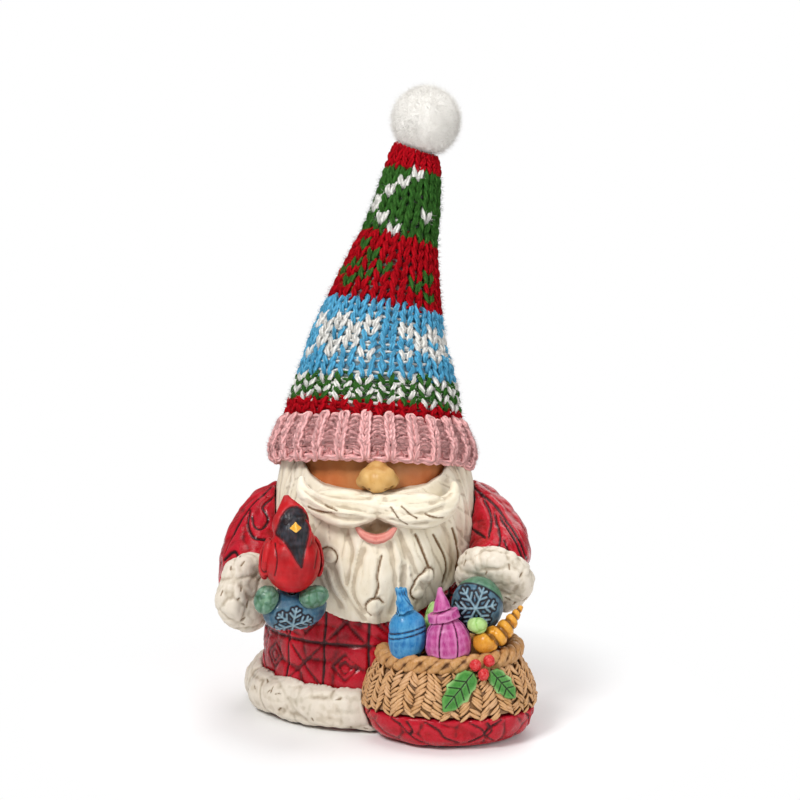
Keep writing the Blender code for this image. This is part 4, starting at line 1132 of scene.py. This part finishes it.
def make_rope_rim():
    """Plump strands laid over one another round the basket's mouth."""
    outer, strands, twists, steps, sides = 17.8, 3, 11, 440, 12
    turn = np.linspace(0, 2 * math.pi, steps)
    paths, radii = [], []
    for strand in range(strands):
        spin = twists * turn + strand * 2 * math.pi / strands
        path = basket_mouth(turn, outer + 0.85 * np.cos(spin), 2.1 + 1.05 * np.sin(spin))
        paths.append(outside_robe(path, ROPE_CLEAR))
        radii.append(1.42 + 0.1 * np.sin(turn * 31 + strand * 2) + 0.05 * np.sin(turn * 83))
    up = np.zeros((strands, steps, 3))
    up[..., 2] = 1.0
    points, faces, _, _ = tubes(np.array(paths), np.array(radii), sides, up)
    points = outside_robe(points)
    rim = make_object("basket_rim_rope", points, faces, FIGURE, ["basket_rim"], M["straw"])
    heart = outside_robe(basket_mouth(turn, np.full(steps, outer), 2.2), ROPE_CLEAR)
    heart = np.tile(np.repeat(heart, sides, axis=0), (strands, 1))
    away = np.linalg.norm(points - heart, axis=1)
    # Painted shade in the crevices where the strands meet, darkest near the rope's middle, with a
    # faint painted highlight on the strands' outer crowns.
    set_values(rim.data, "hollow", np.clip((2.15 - away) * 0.9, -0.8, 1))
    set_values(rim.data, "ink", 0.95 * (1 - smoothstep(1.6, 2.1, away)))


ICICLE_BEADS = [
    # centre, radius
    ((29.2, -42.6, 27.6), 3.3),
    ((32.6, -42.2, 29.0), 2.9),
    ((34.8, -41.6, 31.0), 2.4),
    ((36.4, -40.8, 32.9), 1.8),
    ((37.6, -40.2, 34.4), 1.3),
    ((38.6, -39.6, 35.7), 0.8),
]


def make_blue_bauble():
    """A bulb with two cut lines, and a cap twisted up to a five-pointed frill."""
    shoulders = egg((9.1, -42.0, 31.0), (4.95, 4.7, 4.7))
    clay = Clay([solid_of("blue_bauble"), shoulders], 0.28, 10)
    back = clay.at[:, 1].max()
    clay.at[:, 1] = back + 0.82 * (clay.at[:, 1] - back)
    clay.find_normals()
    tilted = np.stack([clay.at[:, 0], clay.at[:, 2] - 0.22 * (clay.at[:, 0] - 9.0)], axis=1)
    bands = [[(0, z), (10, z), (20, z)] for z in (30.6, 29.3)]
    clay.carve(tilted, bands, 0.2, 0.25, where=clay.front())
    clay.roughen(2.6, 0.15, seed=80)
    clay.finish("blue_bauble_painted", FIGURE, ["blue_bauble"], M["blue"])

    frill = [horn([(7.5 + 0.9 * math.cos(a), -41.6 + 0.8 * math.sin(a), 39.6, 0.75),
                   (7.3 + 1.3 * math.cos(a), -41.6 + 1.1 * math.sin(a), 41.6, 0.45)], 10)
             for a in np.linspace(0.3, 2 * math.pi + 0.3, 6)[:-1]]
    clay = Clay([solid_of("blue_bauble_cap"), *frill], 0.2, 5)
    spin = np.arctan2(clay.at[:, 1] + 41.8, clay.at[:, 0] - 8.0) * 2.0
    clay.strands(spin + 0.8 * clay.at[:, 2], clay.at[:, 2], 1.2, 0.4, seed=82, ink=0.9,
                 waver=0.3)
    clay.roughen(1.3, 0.3, seed=81)
    clay.finish("blue_bauble_cap_twisted", FIGURE, ["blue_bauble_cap"], M["blue"])


def make_pink_bauble():
    """A ribbed bulb, with a ruffled collar under its spire."""
    clay = Clay([solid_of("pink_bauble")], 0.28, 10)
    spin = np.arctan2(clay.at[:, 0] - 19.6, -(clay.at[:, 1] + 42.6))
    ribs = np.stack([spin * 5.0, clay.at[:, 2]], axis=1)
    lines = [[(a, 18), (a, 27), (a, 40)] for a in np.arange(-15.7, 15.8, 4.49)]
    clay.carve(ribs, lines, 0.22, 0.3)
    clay.finish("pink_bauble_ribbed", FIGURE, ["pink_bauble"], M["pink"])

    clay = Clay([solid_of("pink_bauble_collar")], 0.24, 14)
    low, high = (np.array(c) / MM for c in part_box("pink_bauble_collar"))
    centre = (low + high) / 2
    spin = np.arctan2(clay.at[:, 1] - centre[1], clay.at[:, 0] - centre[0]) * 4.2
    clay.strands(spin, clay.at[:, 2], 2.9, 0.3, seed=83, ink=0.5, waver=0.5)
    clay.roughen(1.8, 0.25, seed=86)
    clay.finish("pink_bauble_collar_ruffled", FIGURE, ["pink_bauble_collar"], M["pink"])

    clay = Clay([solid_of("pink_bauble_spire")], 0.22, 6)
    clay.roughen(1.4, 0.15, seed=87)
    clay.finish("pink_bauble_spire_painted", FIGURE, ["pink_bauble_spire"], M["pink"])


def make_gold_icicle():
    """A curled string of beads that shrink to the tip, with a groove between each two."""
    beads = ICICLE_BEADS
    swirl = [egg(c, (r * 0.92, r, r), turn=(0, 35, 0)) for c, r in beads]
    clay = Clay([solid_of("gold_icicle"), *swirl], 0.22, 3)
    axis = unit(np.array([0.72, 0.25, 0.6]))
    for (here, radius), (after, smaller) in zip(beads, beads[1:]):
        gap = (np.array(here) * smaller + np.array(after) * radius) / (radius + smaller)
        offset = np.abs((clay.at - gap) @ axis)
        close = np.linalg.norm(clay.at - gap, axis=1) < radius * 1.5
        clay.lift(-0.2 * radius * np.exp(-(offset / (0.16 * radius + 0.1)) ** 2) * close)
        clay.ink = np.maximum(clay.ink, 0.55 * np.exp(-(offset / 0.22) ** 2) * close)
    clay.finish("gold_icicle_beaded", FIGURE, ["gold_icicle"], M["gold"])


def make_lime_baubles():
    """The icicle's cap, and the bauble behind the others."""
    for node, seed in (("gold_icicle_cap", 84), ("green_bauble", 85)):
        clay = Clay([solid_of(node)], 0.26, 8)
        clay.lumps(3.4, 0.5, seed=seed, ink=0.1)
        clay.finish(node + "_painted", FIGURE, [node], M["lime"])


def make_leaf(node):
    """The painted edge is paler than the middle, and the veins fork off one midrib."""
    clay = Clay([solid_of(node)], 0.16, 1)
    flat = clay.face()
    middle = flat.mean(axis=0)
    spread = np.cov((flat - middle).T)
    axis = np.linalg.eigh(spread)[1][:, 1]
    axis = axis * np.sign(axis[1])
    side = np.array([-axis[1], axis[0]])
    along = (flat - middle) @ axis
    across = (flat - middle) @ side
    top, wide = along.max(), np.abs(across).max()
    veins = [[middle - axis * top, middle, middle + axis * top]]
    for t in (-0.35, 0.1, 0.5):
        root = middle + axis * top * t
        for s in (-1, 1):
            tip = root + side * s * wide * 0.72 - axis * wide * 0.45
            veins.append([root, (root + tip) / 2, tip])
    clay.lift(0.35 * np.cos(across / wide * 1.4) * clay.front())
    clay.carve(flat, veins, 0.2, 0.25, where=clay.front())
    edge = smoothstep(0.5, 1.0, np.abs(across) / wide) * 0.7
    green = np.array([0.045, 0.21, 0.035])
    pale = np.array([0.36, 0.58, 0.24])
    paint = green + (pale - green) * edge[:, None]
    clay.finish(node + "_veined", FIGURE, [node], M["holly"], paint)


def make_berries():
    """Three plain berries, each a little uneven."""
    for i in (1, 2, 3):
        node = f"holly_berry_{i}"
        clay = Clay([solid_of(node)], 0.16, 4)
        clay.lumps(1.5, 0.2, seed=95 + i, ink=0.15)
        clay.finish(node + "_painted", FIGURE, [node], M["berry"])


# ---------------------------------------------------------------- hat
class Sleeve:
    """The surface of a knitted tube with a bent axis, found by height along it and turn."""

    def __init__(self, stations):
        line = smooth_line(stations, 12)
        self.axis = line[:, :3]
        self.radius = line[:, 3]
        tangent = unit(np.gradient(self.axis, axis=0))
        reference = np.tile([0.0, -1.0, 0.0], (len(line), 1))
        self.out = unit(reference - tangent * np.sum(reference * tangent, axis=1, keepdims=True))
        self.side = np.cross(tangent, self.out)
        slope = np.hypot(np.gradient(self.radius), np.linalg.norm(np.gradient(self.axis, axis=0),
                                                                  axis=1))
        self.slant = np.concatenate([[0], np.cumsum((slope[1:] + slope[:-1]) / 2)])

    def height_at(self, z):
        """How far up the cloth the axis reaches that z."""
        return float(np.interp(z, self.axis[:, 2], self.slant))

    def look(self, rows, table):
        """A vector from the table for each height up the cloth."""
        return np.stack([np.interp(rows, self.slant, table[:, k]) for k in range(3)], axis=-1)

    def point(self, rows, turn, inward):
        """A point that far up the cloth, at turn radians from the front, inward of its face."""
        r = np.interp(rows, self.slant, self.radius) - inward
        out, side = self.look(rows, self.out), self.look(rows, self.side)
        way = np.cos(turn)[..., None] * out - np.sin(turn)[..., None] * side
        return self.look(rows, self.axis) + r[..., None] * way, way


def front_share(turn):
    """1 at the front of a ring, falling to 0 at its sides."""
    return (0.5 + 0.5 * np.cos(turn)) ** 3


def stitches(sleeve, low, high, rows, wales, colour_of, thick, leg=0.62, rib=False,
             overlap=0.82, droop=0.0, clear_of=None):
    """Courses of loops. colour_of(row, wale) names a stitch's yarn. rib turns every other wale to
    purl, so that its bumps sit back between the plain ribs. droop lets the first course hang lower
    at the front. clear_of is a ball, as centre and radius, that the yarn is kept outside."""
    steps = 20
    pitch = (high - low) / rows
    t = np.linspace(-math.pi, math.pi, steps, endpoint=False)
    made = []
    for row in range(rows):
        wale = np.repeat(np.arange(wales), steps)
        phase = np.tile(t, wales)
        purl = (wale % 2 == 1) & rib
        share = np.where(purl, 1.1, 0.9) if rib else np.ones(len(wale))
        x = wale + 0.5 + share * (phase / (2 * math.pi) + 0.175 * np.sin(2 * phase))
        jitter = noise(np.stack([x * 1.7, np.full(len(x), row * 3.1), 0 * x], axis=1), 1.0, 91)
        drift = noise(np.stack([x * 0.31, np.full(len(x), row * 0.7), 0 * x], axis=1), 1.0, 92)
        x = x + 0.09 * jitter
        up = low + (row + 0.5) * pitch + overlap * pitch * np.cos(phase)
        up = up + 0.12 * pitch * jitter + 0.22 * pitch * drift
        depth = leg * np.cos(2 * phase)
        radius = np.full(len(x), thick) * (1 + 0.13 * jitter)
        if rib:
            depth = np.where(purl, -0.9 * depth + 0.55, depth - 0.4)
            radius = radius * np.where(purl, 0.95, 1.1)
            if row == rows - 1:
                up = up + np.where(purl, -0.3, 0.5) * (0.5 + 0.5 * np.cos(phase))
        turn = 2 * math.pi * x / wales
        up = up - droop * front_share(turn) * (1 - (up - low) / (high - low))
        path, out = sleeve.point(np.clip(up, 0.02, sleeve.slant[-1] - 0.3), turn,
                                 thick + leg * 0.75 + depth)
        if clear_of:
            centre, reach = clear_of
            away = path - centre
            distance = np.linalg.norm(away, axis=1, keepdims=True)
            path = centre + away * np.maximum(1, (reach + 0.8 * thick) / distance)
        names = [colour_of(row, int(w)) for w in wale]
        made.append((np.concatenate([path, path[:1]]), np.concatenate([out, out[:1]]),
                     np.concatenate([radius, radius[:1]]), names + names[:1]))
    return made


def make_yarn(name, strand, body, nodes, material):
    """An object from tubes, with the values that a yarn's material draws its plies from."""
    points, faces, along, angle = strand
    obj = make_object(name, points, faces, body, nodes, material)
    set_values(obj.data, "along", along)
    set_values(obj.data, "around", angle)
    return obj


def knit(name, courses, nodes, body=HAT):
    """One mesh of courses of yarn, each stitch in its own yarn's material."""
    sides = 10
    paths, outs, radii = (np.array([course[k] for course in courses]) for k in range(3))
    strand = tubes(paths, radii, sides, outs, PLIES, PLY_TURNS)
    obj = make_yarn(name, strand, body, nodes, None)
    colours = sorted({c for course in courses for c in course[3]})
    for colour in colours:
        obj.data.materials.append(YARNS[colour])
    per_point = np.array([[colours.index(c) for c in course[3]] for course in courses])
    index = np.repeat(per_point.ravel(), sides)[strand[1][:, 0]]
    obj.data.polygons.foreach_set("material_index", index.astype(np.int32))
    return obj


def floats(name, sleeve, low, high, rows, colour):
    """Strands of the resting colour that run behind the stitches of each course."""
    steps = 200
    turn = np.linspace(0, 2 * math.pi, steps)
    paths, outs = [], []
    for row in range(rows):
        up = low + (row + 0.35) * (high - low) / rows + 0.25 * np.sin(turn * 17 + row * 2.2)
        path, out = sleeve.point(up, turn, 1.35 + 0.2 * np.sin(turn * 23 + row))
        paths.append(path)
        outs.append(out)
    strand = tubes(np.array(paths), np.full((rows, steps), 0.42), 6, np.array(outs))
    return make_yarn(name, strand, HAT, (), YARNS[colour])


def flake_band(row, wale):
    """Blue with four white flakes. k counts wales from the blue gap between two flakes."""
    k = (wale + 1) % 6
    k = min(k, 6 - k)
    white = {2: (1, 3), 3: (2, 3), 4: (2,), 5: (1, 2, 3), 6: (1, 3)}
    return "white" if k in white.get(row, ()) else "blue"


def fir_band(row, wale):
    """Red with small green firs, one seen from the front and one from the back."""
    green = {1: (2, 6), 2: (1, 3, 7), 3: (0, 2, 6), 4: (1,), 5: (2,)}
    return "green" if wale % 9 in green.get(row, ()) else "red"


def zigzag_band(row, wale):
    """Green with a white line that steps across a wale in each course."""
    path = [0, 1, 2, 2, 1, 0, 6]
    stray = row == 2 and wale % 7 == 5
    return "white" if wale % 7 == path[row] or stray else "green"


def seed_band(row, wale):
    """White and green by turns."""
    return "white" if (row + wale) % 2 else "green"


FIBRE_RADIUS = 0.035
FUZZ_LENGTH = 1.3


def fibres(name, roots, ways, length, material, body, seed, droop=0.3):
    """Loose fibre ends, each a fine tapering tuft of its own that bends as it leaves the yarn."""
    rng = np.random.default_rng(seed)
    count = len(roots)
    bend = unit(rng.normal(0, 1, (count, 3)))
    reach = length * rng.uniform(0.45, 1.25, (count, 1))
    way = unit(ways + rng.normal(0, 0.55, (count, 3)))
    t = np.array([0.0, 0.35, 0.7, 1.0])
    paths = (roots[:, None, :] + way[:, None, :] * (reach * t)[..., None]
             + bend[:, None, :] * (reach * t * t)[..., None] * droop)
    radii = FIBRE_RADIUS * np.array([1.0, 0.85, 0.6, 0.25]) * np.ones((count, 1))
    up = np.repeat(bend[:, None, :], 4, axis=1) + 0.01
    return make_yarn(name, tubes(paths, radii, 3, up), body, (), material)


def fuzz_on(name, sleeve, low, high, count, colour_at, seed, inward=0.25):
    """Stray fibres over a knitted band, in the yarn colours that lie under them."""
    rng = np.random.default_rng(seed)
    up = rng.uniform(low, high, count)
    turn = rng.uniform(-math.pi, math.pi, count)
    roots, out = sleeve.point(up, turn, np.full(count, inward))
    colours = np.array([colour_at(u, a) for u, a in zip(up, turn)])
    for colour in sorted(set(colours)):
        pick = colours == colour
        fibres(f"{name}_{colour}", roots[pick], out[pick], FUZZ_LENGTH, YARNS[colour], HAT,
               seed)


def web(sleeve, up, turn, inward):
    """A tube through a grid of heights and turns that lies inward of the stitches' face."""
    points, _ = sleeve.point(up, turn, np.full(up.shape, inward))
    index = np.arange(up.size).reshape(up.shape)
    low, high = index[:-1], index[1:]
    faces = np.stack([low, high, np.roll(high, -1, axis=1), np.roll(low, -1, axis=1)], axis=-1)
    return points.reshape(-1, 3), faces.reshape(-1, 4)


def lining_knit():
    """The back of the knitting: its band's colour in painted shade, broken up by the loops with
    grey painted shade of the wadding.
    """
    s = Shader("lining_knit")
    band = s.attribute("paint", "Color")
    weave = s.span(s.noise(0.9, 4.0, stretch=(2.2, 2.2, 0.8), distortion=0.8), 0.4, 0.62)
    # Painted shade: grey patches stand for the wadding in shade between the loops.
    colour = s.mix(band, (0.3, 0.3, 0.29), s.math("MULTIPLY", weave, 0.55))
    s.set(Base_Color=colour, Roughness=0.95, Normal=s.bump(weave, 0.4, 0.7), Sheen_Weight=0.2,
          Specular_IOR_Level=0.1)
    return s.material


# Each band's yarn colours darkened, as painted shade behind the stitches.
LINING_BANDS_IN_SHADE = [
    # z from, colour
    (0, (0.16, 0.006, 0.012)),
    (84.7, (0.08, 0.12, 0.08)),
    (92.9, (0.15, 0.25, 0.3)),
    (113.3, (0.08, 0.002, 0.006)),
    (132.6, (0.01, 0.035, 0.01)),
    (152.4, (0.08, 0.002, 0.006)),
]


def make_lining(sleeve):
    """The fabric's inner face: one sheet behind the stitches, in each band's colours darkened as
    painted shade.
    """
    up, turn = np.meshgrid(np.linspace(0.4, sleeve.slant[-1] - 3.0, 90),
                           np.linspace(0, 2 * math.pi, 96, endpoint=False), indexing="ij")
    points, faces = web(sleeve, up, turn, 1.55)
    lining = make_object("hat_lining", points, faces, HAT, (), lining_knit())
    z = sleeve.look(up, sleeve.axis)[..., 2].ravel()
    colours = np.zeros((len(z), 3))
    for start, tone in LINING_BANDS_IN_SHADE:
        colours[z >= start] = tone
    set_colours(lining.data, "paint", colours)
    area = sum(f.area for f in lining.data.polygons)
    length = float(sleeve.slant[-1]) * MM
    width = float(2 * math.pi * sleeve.radius[0]) * MM
    return lining, (width, length), area


CROWN_BANDS = [
    # name, z from, z to, rows, wales, yarn radius, colours
    ("hat_band_red_low", 80.8, 84.7, 2, 24, 0.72, lambda row, wale: "red"),
    ("hat_band_seeded", 84.7, 92.9, 4, 24, 0.6, seed_band),
    ("hat_band_flakes", 92.9, 113.3, 9, 24, 0.62, flake_band),
    ("hat_band_firs", 113.3, 132.6, 7, 18, 0.72, fir_band),
    ("hat_band_zigzag", 132.6, 152.4, 7, 14, 0.74, zigzag_band),
]
TIP_STATIONS = [
    # The tip is drawn up round the foot of the pompom.
    (9.1, 9.4, 142.5, 9.8),
    (10.3, 10.2, 149.5, 8.8),
    (10.9, 10.5, 153.4, 8.2),
    (11.4, 10.4, 156.2, 7.6),
    (12.1, 10.1, 158.4, 6.8),
    (13.0, 9.8, 160.2, 5.2),
]
TIP_FROM = 152.4
CUFF_FROM = 69.2
CUFF_TO = 80.4
CUFF_DROOP = 1.8  # how much lower the cuff hangs at the front
CUFF_WALES = 54  # columns of stitches round the cuff, plain and purl by turns


def make_crown():
    """The five patterned bands and the red tip. Returns the crown's surface and its pieces."""
    crown = Sleeve(CROWN_STATIONS)
    pieces = []
    limits = []
    for name, z_low, z_high, rows, wales, thick, colours in CROWN_BANDS:
        low, high = crown.height_at(z_low), crown.height_at(z_high)
        courses = stitches(crown, low, high, rows, wales, colours, thick=thick)
        nodes = ["hat_crown"] if name == "hat_band_flakes" else []
        pieces.append(knit(name, courses, nodes))
        limits.append((low, high, rows, wales, colours))
    for band, rows, colour in ((2, 8, "white"), (1, 4, "green"), (0, 3, "red")):
        low, high = limits[band][:2]
        pieces.append(floats(f"hat_floats_{colour}", crown, low, high, rows, colour))

    tip = Sleeve(TIP_STATIONS)
    low, high = (np.array(c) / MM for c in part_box("pompom"))
    ball = ((low + high) / 2, (high[0] - low[0]) / 2)
    courses = stitches(tip, tip.height_at(TIP_FROM), float(tip.slant[-1]) - 1.2, 4, 12,
                       lambda row, wale: "red", thick=0.7, clear_of=ball)
    drawn_up = knit("hat_band_tip", courses, [], body=None)
    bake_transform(drawn_up)
    pieces.append(drawn_up)

    def colour_at(up, turn):
        for low, high, rows, wales, colours in limits:
            if low <= up <= high:
                row = min(rows - 1, int((up - low) / (high - low) * rows))
                return colours(row, int((turn % (2 * math.pi)) / (2 * math.pi) * wales) % wales)
        return "red"

    fuzz_on("hat_fuzz", crown, limits[0][0], limits[-1][1], 12000, colour_at, 101)
    return crown, pieces


def make_rolled_edge(cuff, foot):
    """The cuff's lower edge: one thick round of yarn that waves in and out with the ribs."""
    turn = np.linspace(0, 2 * math.pi, 433)
    hem = foot - CUFF_DROOP * front_share(turn)
    wave = np.cos(turn * CUFF_WALES / 2)
    edge, out = cuff.point(hem + 0.1 + 0.2 * wave, turn, 1.1 + 0.35 * wave)
    strand = tubes(edge[None], np.full((1, len(turn)), 0.72), 10, out[None], PLIES, PLY_TURNS)
    return make_yarn("hat_cuff_edge", strand, HAT, (), YARNS["pink"])


def make_cuff_back(cuff, foot, top):
    """The web behind the cuff's ribs."""
    share, turn = np.meshgrid(np.linspace(0, 1, 14),
                              np.linspace(0, 2 * math.pi, 96, endpoint=False), indexing="ij")
    hem = foot - CUFF_DROOP * front_share(turn)
    points, faces = web(cuff, hem + 0.3 + (top - hem) * share, turn, 1.85)
    strand = (points, faces, np.zeros(len(points)), np.zeros(len(points)))
    return make_yarn("hat_cuff_back", strand, HAT, (), YARNS["pink"])


def make_cuff():
    """The ribbed cuff. Its edge rolls over, and hangs a little lower at the front."""
    cuff = Sleeve([(-0.9, -1.2, 66.6, 28.8), *CUFF_STATIONS])
    foot, top = cuff.height_at(CUFF_FROM), cuff.height_at(CUFF_TO)
    courses = stitches(cuff, foot, top, 7, CUFF_WALES, lambda row, wale: "pink", leg=0.5,
                       thick=0.62, rib=True, overlap=0.8, droop=CUFF_DROOP)
    ribbed = knit("hat_cuff_ribbed", courses, ["hat_cuff"])
    middle = (foot + top) / 2
    for half, low, high, seed in (("lower", foot, middle, 102), ("upper", middle, top, 103)):
        fuzz_on(f"hat_cuff_fuzz_{half}", cuff, low, high, 8000, lambda up, turn: "pink", seed,
                inward=0.4)
    roll = make_rolled_edge(cuff, foot)
    back = make_cuff_back(cuff, foot, top)


def make_hat():
    """Crown, lining and cuff."""
    crown, pieces = make_crown()
    lining, flat, area = make_lining(crown)
    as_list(pieces)
    make_cuff()


def make_wadding():
    """Loose filling, seen between the stitches."""
    clay = Clay([solid_of("hat_wadding")], 0.8, 4)
    clay.lumps(6.0, 0.4, seed=111, ink=0.0)
    clay.roughen(2.0, 0.2, seed=112)
    wadding = clay.finish("hat_wadding_stuffed", HAT, ["hat_wadding"], M["wadding"])


GOLDEN_ANGLE = 2.399963
BARE_BY_TIE = 0.84  # cosine of the half angle with no fibres, where the tie comes out


def make_pompom():
    """A wound core, and two halves of fibres spread evenly over it."""
    low, high = (np.array(c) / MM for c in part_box("pompom"))
    centre, radius = (low + high) / 2, (high[0] - low[0]) / 2
    clay = Clay([egg(centre, (radius - 0.7,) * 3, segments=48, rings=32)], 0.35, 3)
    clay.roughen(3.5, 0.12, seed=121)
    clay.roughen(0.9, 0.06, seed=122)
    ball = clay.finish("pompom_core", POMPOM, ["pompom"], M["pompom"])
    count = 20000
    golden = np.arange(count) * GOLDEN_ANGLE
    z = 1 - 2 * (np.arange(count) + 0.5) / count
    ring = np.sqrt(1 - z * z)
    way = np.stack([np.cos(golden) * ring, np.sin(golden) * ring, z], axis=1)
    tip = np.array(CROWN_STATIONS[-1][:3])
    free = way @ unit(tip - centre) < BARE_BY_TIE
    for half, side in (("upper", z >= 0), ("lower", z < 0)):
        pick = free & side
        fibres(f"pompom_fibres_{half}", centre + way[pick] * (radius - 0.9), way[pick], 0.95,
               M["pompom"], POMPOM, 123, droop=1.1)


# ---------------------------------------------------------------- the rest of the CAD
def paint_cad():
    """Materials for the hidden parts that keep their CAD shape."""
    for node, material in (("base_felt", "felt"), ("neck_peg", "bare"), ("right_arm_peg", "bare"),
                           ("left_arm_peg", "bare"), ("basket_peg_upper", "pin"),
                           ("bird_pin", "pin"), ("pompom_tie", "wadding")):
        obj = NODES[node]
        obj.data.materials.clear()
        obj.data.materials.append(M[material])


# ---------------------------------------------------------------- stage
LAMPS = [
    # name, place, size, power
    ("key", (-0.3, -0.5, 0.55), 0.22, 4.4),
    ("fill", (0.55, -0.45, 0.3), 0.45, 1.9),
    ("top", (0.05, 0.05, 0.75), 0.4, 2.0),
    ("back", (0.2, 0.6, 0.4), 0.5, 1.3),
]
LAMPS_AIM = (0, 0, 0.08)


def make_floor():
    """A white floor that fades into the white around it as the camera sees it."""
    reach = 3000
    floor = make_object("floor", [(-reach, -reach, 0), (reach, -reach, 0), (reach, reach, 0),
                                  (-reach, reach, 0)], [(0, 1, 2, 3)])
    s = Shader("pale_floor")
    s.set(Base_Color=(0.9, 0.9, 0.9), Roughness=0.7)
    glow = s.node("ShaderNodeEmission")
    s.put(glow.inputs["Color"], (1.0, 1.0, 1.0))
    distance = s.node("ShaderNodeVectorMath", operation="LENGTH")
    s.put(distance.inputs[0], s.place)
    seen = s.node("ShaderNodeLightPath").outputs["Is Camera Ray"]
    blend = s.node("ShaderNodeMixShader")
    s.put(blend.inputs[0], s.math("MULTIPLY", seen, s.span(distance.outputs["Value"], 0.05, 0.1)))
    s.put(blend.inputs[1], s.bsdf.outputs[0])
    s.put(blend.inputs[2], glow.outputs[0])
    s.put(s.tree.nodes["Material Output"].inputs["Surface"], blend.outputs[0])
    floor.data.materials.append(s.material)


def light_world(scene):
    """White to the camera, and a weaker white as a light."""
    scene.view_settings.view_transform = "Standard"
    world = bpy.data.worlds.new("studio")
    world.use_nodes = True
    tree = world.node_tree
    background = tree.nodes["Background"]
    background.inputs["Color"].default_value = (1.0, 1.0, 1.0, 1.0)
    path = tree.nodes.new("ShaderNodeLightPath")
    strength = tree.nodes.new("ShaderNodeMapRange")
    strength.inputs["To Min"].default_value = 0.26
    strength.inputs["To Max"].default_value = 1.0
    tree.links.new(path.outputs["Is Camera Ray"], strength.inputs["Value"])
    tree.links.new(strength.outputs["Result"], background.inputs["Strength"])
    scene.world = world


def place_lamps(scene):
    """Broad soft lamps, the strongest at the front left."""
    for name, place, size, power in LAMPS:
        lamp = bpy.data.lights.new(name, "AREA")
        lamp.size = size
        lamp.energy = power
        obj = bpy.data.objects.new(name, lamp)
        obj.location = place
        aim = Vector(LAMPS_AIM) - obj.location
        obj.rotation_euler = aim.to_track_quat("-Z", "Y").to_euler()
        scene.collection.objects.link(obj)


def place_camera(scene):
    """In front and a little above, looking down by five degrees."""
    camera = bpy.data.cameras.new("camera")
    camera.lens = 62.96
    camera.clip_start = 0.01
    obj = bpy.data.objects.new("camera", camera)
    obj.location = (0.00715, -0.4, 0.122)
    obj.rotation_euler = (math.radians(85), 0, 0)
    scene.collection.objects.link(obj)
    scene.camera = obj


def main():
    scene = bpy.context.scene
    make_floor()
    light_world(scene)
    place_lamps(scene)
    place_camera(scene)
    paint_cad()
    make_robe()
    make_fur("hem_fur", 1, (0.5, 0.5, 0.3), voxel=0.45, size=9.0, count=90)
    make_hair()
    make_beard()
    make_moustache()
    make_face()
    make_nose_and_lip()
    make_sleeve("right_sleeve", RIGHT_SCROLLS, 45)
    make_sleeve("left_sleeve", LEFT_SCROLLS, 46)
    make_fur("right_cuff", 2, (0.2, 0.6, 1.0), voxel=0.36, size=7.0, count=30)
    make_fur("left_cuff", 3, (0.8, 0.2, 0.6), voxel=0.36, size=7.0, count=30)
    make_right_mitten()
    make_left_mitten()
    make_bird()
    make_wings_and_beak()
    make_basket_wall()
    make_basket_foot()
    make_rope_rim()
    make_blue_bauble()
    make_pink_bauble()
    make_gold_icicle()
    make_lime_baubles()
    make_leaf("holly_leaf_long")
    make_leaf("holly_leaf_short")
    make_berries()
    make_wadding()
    make_hat()
    make_pompom()


main()
